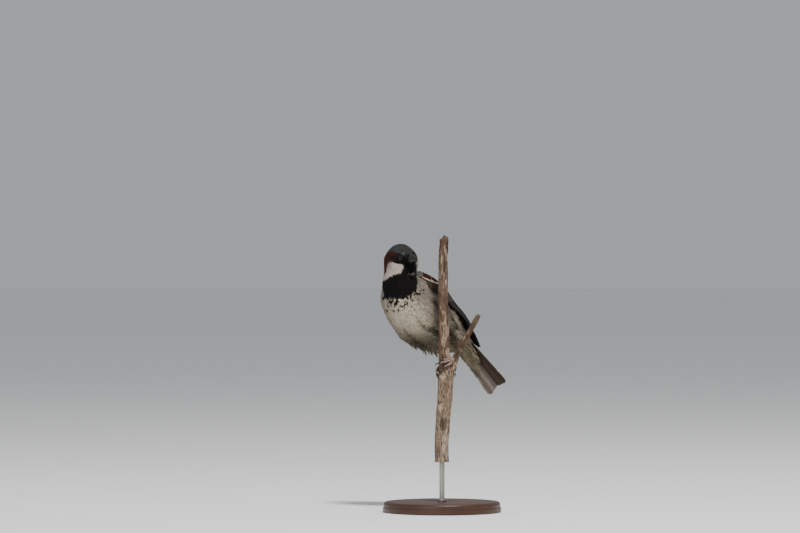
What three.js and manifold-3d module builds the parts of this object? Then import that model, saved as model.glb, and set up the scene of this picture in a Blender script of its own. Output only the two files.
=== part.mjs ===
// A male house sparrow at life size, perched on a cut forked stem that a plain display stand holds.
// Millimetres, +Z up, origin at the centre of the stand's underside. The bird leans to -X, breast to -Y.
import * as THREE from "three";
import { mergeVertices } from "three/addons/utils/BufferGeometryUtils.js";
import Module from "manifold-3d";

const wasm = await Module();
wasm.setup();

// ---------------------------------------------------------------- driving dimensions
const GAP = 0.3; // clearance between two pieces that touch

const STAND_RADIUS = 45;
const STAND_THICKNESS = 8;
const STAND_EDGE = 1.2; // rounding of the plate's rims
const ROD_RADIUS = 2;
const ROD_TOP = 50;
const ROD_BOTTOM = 3;

const STEM_BOTTOM = 38;

const TAIL_LENGTH = 56;
const TAIL_NOTCH = 1.6;
const BILL_LENGTH = 12; // from the forehead feathers to the tip
const BILL_DEPTH = 7.6;
const BILL_WIDTH = 7.4;
const EYE_RADIUS = 2.9; // of the eyeball, whose lids leave less of it to be seen

// ---------------------------------------------------------------- small helpers
const vec = (x, y, z) => new THREE.Vector3(x, y, z);
const rad = THREE.MathUtils.degToRad;
const lerp = THREE.MathUtils.lerp;
const smooth = (x, low, high) => THREE.MathUtils.smoothstep(x, low, high);

// A right-handed frame: along (towards the head), left and back. Heading 0 faces -Y and 90 faces -X.
function frame(origin, heading, pitch, roll) {
  const h = rad(heading);
  const p = rad(pitch);
  const r = rad(roll);
  const along = vec(-Math.sin(h) * Math.cos(p), -Math.cos(h) * Math.cos(p), Math.sin(p));
  const level = vec(Math.cos(h), -Math.sin(h), 0);
  const up = along.clone().cross(level);
  const left = level.multiplyScalar(Math.cos(r)).addScaledVector(up, Math.sin(r));
  const back = along.clone().cross(left);
  return { origin, along, left, back };
}

// The point x along, y left and z back from a frame's origin.
function at(f, x, y, z) {
  return f.origin
    .clone()
    .addScaledVector(f.along, x)
    .addScaledVector(f.left, y)
    .addScaledVector(f.back, z);
}

// A closed surface on a grid of rings. point(u, v) is the place of u along and v round, both 0 to 1,
// and each end is closed by a fan from the middle of its ring.
function ringed(point, rings, sides) {
  const places = [];
  const faces = [];
  for (let i = 0; i < rings; i++)
    for (let j = 0; j < sides; j++) places.push(point(i / (rings - 1), j / sides));
  for (let i = 0; i < rings - 1; i++)
    for (let j = 0; j < sides; j++) {
      const a = i * sides + j;
      const b = i * sides + ((j + 1) % sides);
      const [c, d] = [b + sides, a + sides];
      const leaning = places[a].distanceTo(places[c]) < places[b].distanceTo(places[d]);
      faces.push(...(leaning ? [a, b, c, a, c, d] : [a, b, d, b, c, d]));
    }
  for (const first of [0, (rings - 1) * sides]) {
    const ring = places.slice(first, first + sides);
    const middle = ring.reduce((sum, p) => sum.add(p), vec(0, 0, 0)).divideScalar(sides);
    const centre = places.push(middle) - 1;
    for (let j = 0; j < sides; j++) {
      const a = first + j;
      const b = first + ((j + 1) % sides);
      faces.push(...(first ? [a, b, centre] : [b, a, centre]));
    }
  }
  const made = new THREE.BufferGeometry().setFromPoints(places);
  made.setIndex(faces);
  return made;
}

// A three.js geometry as a manifold solid, turned to face outwards.
function solid(geometry) {
  const bare = geometry.clone();
  bare.deleteAttribute("normal");
  bare.deleteAttribute("uv");
  const merged = mergeVertices(bare, 1e-4);
  const corners = new Uint32Array(merged.index.array);
  const build = () =>
    new wasm.Manifold(
      new wasm.Mesh({
        numProp: 3,
        vertProperties: new Float32Array(merged.attributes.position.array),
        triVerts: corners,
      }),
    );
  const made = build();
  if (made.volume() >= 0) return made;
  for (let i = 0; i < corners.length; i += 3)
    [corners[i + 1], corners[i + 2]] = [corners[i + 2], corners[i + 1]];
  return build();
}

// The largest body of a manifold solid as a three.js geometry.
function geometryOf(made) {
  const largest = made.decompose().reduce((a, b) => (a.volume() > b.volume() ? a : b));
  const mesh = largest.getMesh();
  const places = new Float32Array(mesh.numVert * 3);
  for (let i = 0; i < mesh.numVert; i++)
    for (let k = 0; k < 3; k++) places[3 * i + k] = mesh.vertProperties[mesh.numProp * i + k];
  const geometry = new THREE.BufferGeometry();
  geometry.setAttribute("position", new THREE.BufferAttribute(places, 3));
  geometry.setIndex(new THREE.BufferAttribute(new Uint32Array(mesh.triVerts), 1));
  geometry.computeVertexNormals();
  return geometry;
}

// A smooth curve through points that are given as rows of three numbers.
const through = (rows) => new THREE.CatmullRomCurve3(rows.map((r) => vec(...r)), false, "catmullrom", 0.5);

// ---------------------------------------------------------------- the bird's frames
// The trunk leans over to -X with its breast to the front; the neck rises and turns; the head is upright and
// faces forwards and to the bird's left.
const TAIL_FRAME = frame(vec(9.1, 35, 137.2), 90, 51.5, 67); // origin where the tail feathers are rooted
const RUMP_FRAME = frame(vec(5.0, 32, 135.0), 84, 40, 58);
const TRUNK_FRAME = frame(vec(-15.6, 28, 150.4), 76, 47, 50);
const CHEST_FRAME = frame(vec(-26.8, 24.5, 169.5), 50, 68, 27);
const NECK_FRAME = frame(vec(-31.2, 22, 181.5), 2, 85, 0);
const HEAD_FRAME = frame(vec(-30.2, 20.5, 193.2), -32, 0, 6);

// ---------------------------------------------------------------- head, neck and trunk
// The head's sections are level, so there "along" is up and the breast side is the face.
const HEAD_STACK = {
  origin: HEAD_FRAME.origin,
  along: HEAD_FRAME.back,
  left: HEAD_FRAME.left,
  back: HEAD_FRAME.along.clone().negate(),
};

// Sections across the body: [frame, along, left, back, half width, back radius, breast radius].
const STATIONS = [
  [TAIL_FRAME, -32, 0, -1.2, 2.4, 1.2, 1.4],
  [TAIL_FRAME, -24, 0, -0.8, 4.0, 2.2, 3.0],
  [TAIL_FRAME, -15, -0.8, -0.2, 7.4, 4.2, 6.6],
  [RUMP_FRAME, -7, -0.9, 0, 12.9, 8.2, 13.2],
  [RUMP_FRAME, 5, -1.0, 0, 19.2, 12.4, 19.2],
  [TRUNK_FRAME, -7, -0.8, 0, 23.0, 16.4, 23.4],
  [TRUNK_FRAME, 4, 0, 0, 23.6, 17.6, 23.8],
  [CHEST_FRAME, -5, 0, 0, 22.0, 17.0, 21.6],
  [CHEST_FRAME, 4, 0, 0, 18.6, 15.4, 17.6],
  [NECK_FRAME, -0.5, -0.2, 0, 12.7, 13.6, 12.6],
  [HEAD_STACK, -5.4, -0.7, 1.0, 12.9, 14.2, 11.0],
  [HEAD_STACK, -0.6, -0.5, 0.9, 12.6, 14.1, 10.6],
  [HEAD_STACK, 4.2, -0.5, 0.8, 11.8, 13.4, 10.2],
  [HEAD_STACK, 10.8, -0.5, 0.8, 10.9, 12.4, 9.6],
];
const BODY_CENTRE = new THREE.CatmullRomCurve3(
  STATIONS.map(([f, x, y, z]) => at(f, x, y, z)), false, "catmullrom", 0.5,
);
const BODY_LEFT = new THREE.CatmullRomCurve3(STATIONS.map(([f]) => f.left), false, "catmullrom", 0.5);
const BODY_BACK = new THREE.CatmullRomCurve3(STATIONS.map(([f]) => f.back), false, "catmullrom", 0.5);
const BODY_RADII = through(STATIONS.map(([, , , , ...radii]) => radii));
const NECK_CUT = 0.645; // places along the body where it is parted
const HEAD_CUT = 0.735;
const TAIL_DOME = 0.06; // share of the length over which each end rounds off
const CROWN_DOME = 0.86;

// How far the ends have closed at t: 1 along the body, falling to 0 as a quarter ellipse.
function closing(t) {
  if (t < TAIL_DOME) return Math.sqrt(Math.max(0, 1 - ((TAIL_DOME - t) / TAIL_DOME) ** 2));
  if (t > CROWN_DOME) return Math.sqrt(Math.max(0, 1 - ((t - CROWN_DOME) / (1 - CROWN_DOME)) ** 2));
  return 1;
}

// Swellings and hollows of the head: [forward, left, up] of the middle, reach, and height outwards.
const HEAD_RELIEF = [
  [1.0, 9.5, -4.5, 5.5, 0.9], // ear coverts, over the cheek
  [6.2, 8.0, 1.0, 3.4, -0.9], // eye socket
  [6.6, 6.6, 5.2, 3.0, 0.5], // brow
  [10.0, 4.0, 5.0, 4.5, -0.9], // slope of the forehead
];

function headRelief(p) {
  const q = p.clone().sub(HEAD_FRAME.origin);
  const x = q.dot(HEAD_FRAME.along);
  const y = q.dot(HEAD_FRAME.left);
  const z = q.dot(HEAD_FRAME.back);
  let height = 0;
  for (const [fx, fy, fz, reach, rise] of HEAD_RELIEF)
    for (const side of [-1, 1]) {
      const d2 = (x - fx) ** 2 + (y - side * fy) ** 2 + (z - fz) ** 2;
      height += rise * Math.exp(-d2 / reach ** 2);
    }
  return height;
}

// A point of the skin: t runs from the tail root to the crown, and turn round from the left, over the back.
function bodyPoint(t, turn, grow = 0) {
  const angle = 2 * Math.PI * turn;
  const centre = BODY_CENTRE.getPoint(t);
  const left = BODY_LEFT.getPoint(t).normalize();
  const back = BODY_BACK.getPoint(t);
  back.addScaledVector(left, -back.dot(left)).normalize();
  const radii = BODY_RADII.getPoint(t);
  const share = closing(t);
  const across = Math.cos(angle) * (radii.x * share + grow);
  const deep = Math.sin(angle) * ((Math.sin(angle) > 0 ? radii.y : radii.z) * share + grow);
  const p = centre.clone().addScaledVector(left, across).addScaledVector(back, deep);
  const outward = p.clone().sub(centre);
  if (outward.lengthSq() < 1e-9) return p;
  return p.addScaledVector(outward.normalize(), headRelief(p));
}

// Rings crowd towards the two round ends.
const endwise = (u) => u - (0.5 * Math.sin(2 * Math.PI * u)) / (2 * Math.PI);
const bodySolid = (rings, sides, grow) =>
  solid(ringed((u, v) => bodyPoint(endwise(0.002 + 0.996 * u), v, grow), rings, sides));

// ---------------------------------------------------------------- folded wings
// The two long edges of a folded wing, from its bend to its tip: [frame, along, outwards, back], and on the
// lower edge how much further out the left wing is held and how much further in the right one.
const WING_LOWER = [
  [TRUNK_FRAME, 22.5, 19.4, 1.4, 0, 0],
  [TRUNK_FRAME, 12.5, 23.6, -3.4, 0.8, 0.6],
  [TRUNK_FRAME, 1, 25.2, -5.6, 2.2, 1.6],
  [TRUNK_FRAME, -10, 23.8, -5.0, 3.4, 2.2],
  [RUMP_FRAME, 3, 20.0, -4.0, 2.2, 2.0],
  [RUMP_FRAME, -8, 15.0, -1.2, 3.4, 1.2],
  [TAIL_FRAME, -13, 10.6, 1.0, 1.6, 0],
  [TAIL_FRAME, -22.5, 7.6, 3.0, 0.3, 0],
];
const WING_UPPER = [
  [TRUNK_FRAME, 23.5, 16.8, 11.0],
  [TRUNK_FRAME, 13.5, 13.8, 17.2],
  [TRUNK_FRAME, 1, 11.6, 18.8],
  [TRUNK_FRAME, -10, 9.2, 17.6, 1.0, 0],
  [RUMP_FRAME, 3, 7.4, 14.2, -0.6, 0],
  [RUMP_FRAME, -8, 6.4, 10.6],
  [TAIL_FRAME, -13, 2.0, 8.4],
  [TAIL_FRAME, -22.5, 4.2, 6.0],
];
const WING_BOW = 0.18; // height of the curve across the wing, as a share of its width
const WING_THICK = 2.6; // at the bend
const WING_THIN = 0.8; // at the tip
const TIP_ROUND = 0.16; // share of the length over which each end of the wing rounds off

function edgeCurve(rows, side) {
  const places = rows.map(([f, x, y, z, more = 0, less = 0]) =>
    at(f, x, side * (y + (side > 0 ? more : -less)), z),
  );
  return new THREE.CatmullRomCurve3(places, false, "catmullrom", 0.5);
}

// One folded wing as a bowed slab with rounded ends. room widens it, to cut its bed out of the trunk.
function wingSolid(side, room = 0) {
  const lower = edgeCurve(WING_LOWER, side);
  const upper = edgeCurve(WING_UPPER, side);
  const ends = (s) => {
    const near = Math.max(0, 1 - s / TIP_ROUND, 1 - (1 - s) / TIP_ROUND);
    return Math.sqrt(Math.max(0.03, 1 - near * near));
  };
  const point = (u, v) => {
    const edge = lower.getPoint(u);
    const across = upper.getPoint(u).sub(edge);
    const width = across.length();
    const out = across.clone().cross(lower.getTangent(u)).normalize().multiplyScalar(-side);
    const angle = 2 * Math.PI * v;
    const round = ends(u);
    const q = 0.5 + (0.5 * Math.cos(angle) * (round * width + 2 * room)) / width;
    const thickness = lerp(WING_THICK, WING_THIN, smooth(u, 0, 0.9)) * (0.4 + 0.6 * round);
    const outer = Math.sin(angle) > 0 ? room * 8 : room;
    const rise = Math.sin(angle) * (thickness / 2 + outer) + WING_BOW * width * (1 - (2 * q - 1) ** 2);
    return edge.addScaledVector(across, q).addScaledVector(out, rise);
  };
  return solid(ringed(point, 18, 12));
}

// ---------------------------------------------------------------- tail
// Half width and half thickness of the closed tail at x back from its root, and its notched end.
function tailSolid(room = 0) {
  const point = (u, v) => {
    const angle = 2 * Math.PI * v;
    const side = Math.cos(angle);
    const round = Math.sqrt(Math.max(0, 1 - Math.max(0, (u - 0.93) / 0.07) ** 2));
    const half = lerp(6.0, 10.9, smooth(u, 0, 1)) * (0.72 + 0.28 * round);
    const notch = TAIL_NOTCH * (1 - Math.abs(side)) * smooth(u, 0.6, 1);
    const thick = lerp(1.7, 0.75, u) * Math.max(0.35, round) + room;
    const x = notch - u * TAIL_LENGTH + 3 * room * (1 - 2 * u);
    return at(TAIL_FRAME, x, (half + room) * side, thick * Math.sin(angle) + 0.4);
  };
  return solid(ringed(point, 12, 16));
}

// ---------------------------------------------------------------- bill and eyes
// A half of the bill: sections along the head's axis from inside the face to the tip.
function mandible(upper, room = 0) {
  const root = 10.0;
  const tip = 10.4 + BILL_LENGTH - (upper ? 0 : 1.2);
  const gape = -1.2; // height of the line between the halves at the root
  const droop = -1.5; // and at the tip
  const point = (u, v) => {
    const angle = Math.PI * v * 2;
    const x = lerp(root - room, tip, u);
    const w = THREE.MathUtils.clamp((x - 9.5) / (tip - 9.5), 0, 1);
    const full = (1 - w ** 1.5) ** 0.7 + 0.02;
    const line = lerp(gape, droop, w ** 1.6) + (upper ? GAP / 2 : -GAP / 2);
    const halfWidth = (BILL_WIDTH / 2) * full * (upper ? 1 : 0.92) * (1 - 0.25 * w);
    const depth = (upper ? 0.58 : 0.42) * BILL_DEPTH * full;
    const y = (halfWidth + room) * Math.cos(angle);
    const rise = Math.sin(angle) > 0 ? Math.sin(angle) ** 0.9 * (depth + room) : -room;
    return at(HEAD_FRAME, x, y, line + (upper ? rise : -rise));
  };
  return solid(ringed(point, 10, 14));
}

const eyeCentre = (side) => at(HEAD_FRAME, 6.1, side * 5.1 - 0.3, 0.35);
function ball(centre, radius, wide = 12, high = 8) {
  const sphere = new THREE.SphereGeometry(radius, wide, high);
  sphere.translate(centre.x, centre.y, centre.z);
  return solid(sphere);
}

// ---------------------------------------------------------------- perch
// Each row is a place on the middle line and the radius there: [x, y, z, radius].
const STEM = [
  [-0.2, 0, STEM_BOTTOM, 5.4], [-0.3, 0, 54, 5.5], [0.6, 0, 71, 5.5], [2.0, 0, 86, 5.6], [3.0, 0, 102, 5.8],
  [2.6, 0, 111, 5.2], [1.9, 0, 120, 4.2], [1.4, 0, 137, 3.9], [0.8, 0, 161, 3.75], [0.7, 0, 190, 3.75],
  [1.4, 0, 204, 3.4], [1.6, 0, 210.8, 3.0],
];
const BRANCH = [
  [5.6, -0.2, 104, 4.0], [7.6, -0.3, 109.5, 3.4], [9.6, -0.6, 115, 2.6], [12.4, -1.2, 121.6, 2.3],
  [19.6, -3, 135, 2.2], [28.0, -5.2, 150.2, 1.9],
];
const lineOf = (rows) => through(rows.map((r) => r.slice(0, 3)));
const radiiOf = (rows) => through(rows.map((r) => [r[3], 0, 0]));
const STEM_LINE = lineOf(STEM);
const STEM_RADII = radiiOf(STEM);

// The stem's middle and radius at a height.
function stemAt(z) {
  let low = 0;
  let high = 1;
  for (let i = 0; i < 24; i++) {
    const u = (low + high) / 2;
    if (STEM_LINE.getPoint(u).z < z) low = u;
    else high = u;
  }
  return { centre: STEM_LINE.getPoint(low), radius: STEM_RADII.getPoint(low).x };
}

// A tube with its own radius at each place and a slow unevenness, as wood has.
function limb(line, radii, rings, sides, grow = 0) {
  const point = (u, v) => {
    const centre = line.getPoint(u);
    const tangent = line.getTangent(u);
    const side = vec(1, 0, 0).addScaledVector(tangent, -tangent.x).normalize();
    const front = tangent.clone().cross(side);
    const angle = 2 * Math.PI * v;
    const uneven = 1 + 0.035 * Math.sin(3 * angle + 9 * u) + 0.03 * Math.sin(2 * angle - 17 * u);
    const r = radii.getPoint(u).x * uneven + grow;
    return centre.addScaledVector(side, r * Math.cos(angle)).addScaledVector(front, r * Math.sin(angle));
  };
  return solid(ringed(point, rings, sides));
}

const stemSolid = (grow = 0) => limb(STEM_LINE, STEM_RADII, 22, 14, grow);
const branchSolid = (grow = 0) => limb(lineOf(BRANCH), radiiOf(BRANCH), 10, 10, grow);

// ---------------------------------------------------------------- legs and feet
// A round bar along a curve, with a radius that changes evenly from one end to the other.
function bar(line, from, to, rings = 8, sides = 8, squeeze = 1) {
  const point = (u, v) => {
    const centre = line.getPoint(u);
    const tangent = line.getTangent(u);
    const helper = Math.abs(tangent.z) < 0.9 ? vec(0, 0, 1) : vec(1, 0, 0);
    const side = helper.clone().cross(tangent).normalize();
    const front = tangent.clone().cross(side);
    const angle = 2 * Math.PI * v;
    const r = lerp(from, to, u);
    return centre
      .addScaledVector(side, r * squeeze * Math.cos(angle))
      .addScaledVector(front, r * Math.sin(angle));
  };
  return solid(ringed(point, rings, sides));
}

// Toes of each foot: the number, the angle round the stem and the height where it starts and ends, and the
// length of its claw. Angle 0 is +X, -90 the front and 180 the bird's right. The claw of the left middle toe
// stands off the stem, so it has a curl of its own.
const FEET = {
  left: {
    heel: vec(15.5, 12.5, 130),
    shank: vec(8.0, 24.5, 139),
    ankle: vec(9.0, 2.4, 117.2),
    palm: vec(7.7, -2.2, 115.6),
    toes: [
      { name: 1, from: 28, to: 72, start: 117, end: 114.6, claw: 4.4 },
      { name: 2, from: -48, to: -104, start: 116.8, end: 115.8, claw: 3.6 },
      { name: 3, from: -48, to: -130, start: 115.4, end: 113.4, claw: 4.8, curl: -0.15 },
      { name: 4, from: -44, to: -98, start: 113.6, end: 110.6, claw: 3.6 },
    ],
  },
  right: {
    heel: vec(3.4, 16.2, 126.4),
    shank: vec(-5, 25, 137.5),
    ankle: vec(-0.2, 8.0, 111.0),
    palm: vec(-1.4, 6.4, 109.6),
    toes: [
      { name: 1, from: 100, to: 30, start: 108.6, end: 105.5, claw: 4.6 },
      { name: 2, from: 138, to: 192, start: 109.4, end: 108.4, claw: 3.6 },
      { name: 3, from: 138, to: 222, start: 108.0, end: 105.6, claw: 4.2 },
      { name: 4, from: 134, to: 186, start: 106.4, end: 103.4, claw: 3.6 },
    ],
  },
};
const TOE_THICK = 1.0; // radius at the root
const TOE_THIN = 0.7; // and at the claw
const CLAW_THICK = 0.52;
const CLAW_THIN = 0.26;
const CLAW_CURL = 0.3; // how far a claw turns in to the bark, as a share of its length

// A place on the stem's bark, lifted off it.
function onStem(degrees, z, lift) {
  const { centre, radius } = stemAt(z);
  const angle = rad(degrees);
  const r = radius + lift;
  return centre.add(vec(r * Math.cos(angle), r * Math.sin(angle), 0));
}

// The middle line of a toe: from the palm, round the stem.
function toeLine(foot, toe) {
  const rows = [foot.palm];
  for (const share of [0, 0.33, 0.66, 1]) {
    const lift = 0.25 + lerp(TOE_THICK, TOE_THIN, share) + 0.5 * Math.sin(Math.PI * share);
    rows.push(onStem(lerp(toe.from, toe.to, share), lerp(toe.start, toe.end, share), lift));
  }
  return new THREE.CatmullRomCurve3(rows, false, "centripetal");
}

// A claw runs on from its toe and curls down towards the bark.
function clawLine(foot, toe) {
  const line = toeLine(foot, toe);
  const root = line.getPoint(1);
  const ahead = line.getTangent(1);
  const inward = stemAt(root.z).centre.sub(root).setZ(0).normalize();
  const curl = toe.curl ?? CLAW_CURL;
  const rows = [0.07, 0.35, 0.7, 1].map((share) =>
    root
      .clone()
      .addScaledVector(ahead, share * toe.claw)
      .addScaledVector(inward, toe.claw * (curl * share - 0.25 * Math.sin(Math.PI * share)))
      .add(vec(0, 0, -0.25 * toe.claw * share * share)),
  );
  return new THREE.CatmullRomCurve3(rows, false, "centripetal");
}

// A whole leg below the feathers: tarsus, knuckle and toes in one piece.
function legSolid(foot) {
  const shin = new THREE.CatmullRomCurve3([foot.palm, foot.ankle, foot.heel], false, "centripetal");
  let made = bar(shin, 1.15, 1.2, 8, 8).add(ball(foot.palm, 2.0, 8, 6));
  for (const toe of foot.toes) made = made.add(bar(toeLine(foot, toe), TOE_THICK, TOE_THIN, 8, 6));
  return made;
}

// The feathered shank, from inside the belly down to the heel.
function shankSolid(foot, room = 0) {
  const line = new THREE.CatmullRomCurve3([foot.shank, foot.heel], false, "centripetal");
  const start = line.getPoint(0.1);
  const end = line.getPoint(0.94);
  return bar(new THREE.LineCurve3(start, end), 5.2 + room, 1.9 + room, 6, 12);
}

// ---------------------------------------------------------------- stand
// The plate, turned about its own axis, with rounded rims.
function plateSolid() {
  const r = STAND_RADIUS;
  const e = STAND_EDGE;
  const profile = [new THREE.Vector2(0, 0), new THREE.Vector2(r - e, 0), new THREE.Vector2(r, e)];
  for (const share of [0, 0.5, 1]) {
    const a = (share * Math.PI) / 2;
    profile.push(new THREE.Vector2(r - e + e * Math.cos(a), STAND_THICKNESS - e + e * Math.sin(a)));
  }
  profile.push(new THREE.Vector2(0, STAND_THICKNESS));
  const plate = new THREE.LatheGeometry(profile, 36);
  plate.rotateX(Math.PI / 2);
  return solid(plate);
}

// ---------------------------------------------------------------- assembly
const FINISHES = {
  head: { color: 0x55524c, roughness: 0.9 },
  neck: { color: 0x1c1917, roughness: 0.9 },
  trunk: { color: 0xaaa294, roughness: 0.9 },
  wing: { color: 0x5a3a26, roughness: 0.8 },
  tail: { color: 0x5d5148, roughness: 0.8 },
  bill: { color: 0x1b1c1e, roughness: 0.4 },
  eye: { color: 0x0c0a09, roughness: 0.08 },
  thigh: { color: 0x9a9183, roughness: 0.9 },
  leg: { color: 0x9b7a66, roughness: 0.6 },
  claw: { color: 0x26211e, roughness: 0.4 },
  bark: { color: 0x7c6552, roughness: 0.9 },
  rod: { color: 0xb4b0a8, roughness: 0.3, metalness: 1 },
  plate: { color: 0x3a2a20, roughness: 0.45 },
};

const sparrow = new THREE.Group();
function put(name, made, finish) {
  const mesh = new THREE.Mesh(geometryOf(made), new THREE.MeshStandardMaterial(finish));
  mesh.name = name;
  sparrow.add(mesh);
}

// A thin round blade across the body at t, and the share of the body above or below it.
function blade(t) {
  const disc = new THREE.CylinderGeometry(40, 40, GAP, 24);
  disc.rotateX(Math.PI / 2);
  const ahead = BODY_LEFT.getPoint(t).cross(BODY_BACK.getPoint(t)).normalize();
  disc.applyQuaternion(new THREE.Quaternion().setFromUnitVectors(vec(0, 0, 1), ahead));
  const middle = BODY_CENTRE.getPoint(t);
  disc.translate(middle.x, middle.y, middle.z);
  return solid(disc);
}

const cutAll = (made, cutters) => cutters.reduce((rest, cutter) => rest.subtract(cutter), made);
const SIDES = [["left", 1], ["right", -1]];

const feet = Object.values(FEET);
const perchRoom = [stemSolid(GAP), branchSolid(GAP)];
const thighRoom = feet.map((foot) => shankSolid(foot, GAP));
const tail = tailSolid();
const beds = SIDES.map(([, side]) => wingSolid(side, GAP));
const body = cutAll(bodySolid(40, 24, 0), [
  ...beds,
  tailSolid(GAP),
  ...thighRoom,
  ...SIDES.map(([, side]) => ball(eyeCentre(side), EYE_RADIUS + GAP)),
  mandible(true, GAP),
  mandible(false, GAP),
  blade(NECK_CUT),
  blade(HEAD_CUT),
]);
const height = (made) => made.boundingBox().min[2] + made.boundingBox().max[2];
const flesh = body
  .decompose()
  .sort((a, b) => b.volume() - a.volume())
  .slice(0, 3)
  .sort((a, b) => height(a) - height(b));
["trunk", "neck", "head"].forEach((name, i) => put(name, flesh[i], FINISHES[name]));

for (const [name, side] of SIDES) {
  const foot = FEET[name];
  put(`wing_${name}`, cutAll(wingSolid(side), [tailSolid(GAP)]), FINISHES.wing);
  put(`eye_${name}`, ball(eyeCentre(side), EYE_RADIUS), FINISHES.eye);
  const claws = foot.toes.map((toe) => bar(clawLine(foot, toe), CLAW_THICK, CLAW_THIN, 5, 6));
  const clawRoom = foot.toes.map((toe) =>
    bar(clawLine(foot, toe), CLAW_THICK + GAP, CLAW_THIN + GAP, 5, 6),
  );
  put(`leg_${name}`, cutAll(legSolid(foot), [...perchRoom, ...clawRoom, ...thighRoom]), FINISHES.leg);
  put(`thigh_${name}`, cutAll(shankSolid(foot), perchRoom), FINISHES.thigh);
  claws.forEach((claw, i) =>
    put(`claw_${name}_${foot.toes[i].name}`, cutAll(claw, perchRoom), FINISHES.claw),
  );
}
put("tail", tail, FINISHES.tail);
put("bill_upper", mandible(true), FINISHES.bill);
put("bill_lower", mandible(false), FINISHES.bill);

const rodRoom = bar(new THREE.LineCurve3(vec(0, 0, ROD_BOTTOM), vec(0, 0, ROD_TOP + GAP)), ROD_RADIUS + GAP,
  ROD_RADIUS + GAP, 2, 16);
put("perch_stem", cutAll(stemSolid(), [branchSolid(GAP), rodRoom]), FINISHES.bark);
put("perch_branch", branchSolid(), FINISHES.bark);
put("stand_rod", bar(new THREE.LineCurve3(vec(0, 0, ROD_BOTTOM + GAP), vec(0, 0, ROD_TOP)), ROD_RADIUS,
  ROD_RADIUS, 2, 16), FINISHES.rod);
put("stand_base", cutAll(plateSolid(), [rodRoom]), FINISHES.plate);

export default sparrow;
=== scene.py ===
"""A male house sparrow at life size on a cut forked stem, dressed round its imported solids.

Shapes are worked out in millimetres in the part's own frame and put into their meshes in metres. The bird leans to
-X with its breast to the front. Every body frame has three unit vectors: along (to the head), left and back.
"""

import bpy
import numpy as np
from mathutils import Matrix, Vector


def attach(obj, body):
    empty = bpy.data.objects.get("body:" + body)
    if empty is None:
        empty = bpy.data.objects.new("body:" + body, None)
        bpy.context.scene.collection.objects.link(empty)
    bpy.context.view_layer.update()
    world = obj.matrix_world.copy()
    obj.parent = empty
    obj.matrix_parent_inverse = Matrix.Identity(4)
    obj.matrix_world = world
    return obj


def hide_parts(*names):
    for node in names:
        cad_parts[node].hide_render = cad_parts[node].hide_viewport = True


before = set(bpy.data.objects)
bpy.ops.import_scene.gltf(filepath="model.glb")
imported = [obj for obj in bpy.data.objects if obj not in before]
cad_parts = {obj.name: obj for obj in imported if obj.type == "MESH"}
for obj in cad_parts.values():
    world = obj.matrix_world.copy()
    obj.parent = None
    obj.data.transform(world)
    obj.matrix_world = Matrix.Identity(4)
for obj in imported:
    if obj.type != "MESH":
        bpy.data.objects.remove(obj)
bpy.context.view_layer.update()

bl_info = {
    "name": "House sparrow on a stem",
    "version": (1, 0, 0),
    "blender": (4, 5, 0),
    "location": "3D View > Sidebar > Sparrow",
    "description": "Builds the feathers, horn, bark and stand of a perched house sparrow",
    "category": "Add Mesh",
}

MM = 0.001


# ---------- numbers and colours
def linear(code):
    """An sRGB hex colour as linear red, green and blue."""
    c = np.array([int(code[i : i + 2], 16) for i in (0, 2, 4)]) / 255
    return tuple(np.where(c <= 0.04045, c / 12.92, ((c + 0.055) / 1.055) ** 2.4))


def unit(v):
    """Vectors scaled to length one."""
    return v / np.maximum(np.linalg.norm(v, axis=-1, keepdims=True), 1e-12)


def lattice(rows, columns):
    """Two ranges as a grid: the first runs down the rows, the second along the columns."""
    return np.meshgrid(rows, columns, indexing="ij")


def pairs(rows, columns):
    """All pairs of two ranges, as two flat arrays."""
    return [x.ravel() for x in lattice(rows, columns)]


def turns(count):
    """Angles round a full turn, in count steps."""
    return 2 * np.pi * np.arange(count) / count


def combine(a, x, b, y):
    """x times direction a plus y times direction b."""
    return a * x[..., None] + b * y[..., None]


def smooth(x, low, high):
    """0 below low, 1 above high, and a smooth step between them."""
    w = np.clip((x - low) / (high - low), 0, 1)
    return w * w * (3 - 2 * w)


def blend(a, b, w):
    """a where w is 0 and b where it is 1, for rows of vectors."""
    w = np.asarray(w)[..., None]
    return a * (1 - w) + b * w


def spline(rows, u, power=0.0):
    """Catmull-Rom spline through rows, at u from 0 (first row) to 1 (last).

    Knots lie a distance to this power apart: 0 is the uniform spline and 0.5 the centripetal one.
    """
    rows = np.asarray(rows, float)
    ends = np.vstack([2 * rows[0] - rows[1], rows, 2 * rows[-1] - rows[-2]])
    x = np.clip(u, 0, 1) * (len(rows) - 1)
    i = np.minimum(x.astype(int), len(rows) - 2)
    w = (x - i)[..., None]
    p0, p1, p2, p3 = (ends[i + k] for k in range(4))
    gaps = np.linalg.norm(np.diff(ends, axis=0), axis=1) ** power
    a, b, c = (gaps[i + k][..., None] for k in range(3))
    m1 = b * ((p1 - p0) / a - (p2 - p0) / (a + b) + (p2 - p1) / b)
    m2 = b * ((p2 - p1) / b - (p3 - p1) / (b + c) + (p3 - p2) / c)
    w2, w3 = w * w, w * w * w
    return (2 * w3 - 3 * w2 + 1) * p1 + (w3 - 2 * w2 + w) * m1 + (3 * w2 - 2 * w3) * p2 + (w3 - w2) * m2


def run_along(rows, u, step, power=0.0):
    """How far a spline goes from step before each place to step after it, within its ends."""
    return spline(rows, u + step, power) - spline(rows, u - step, power)


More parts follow.
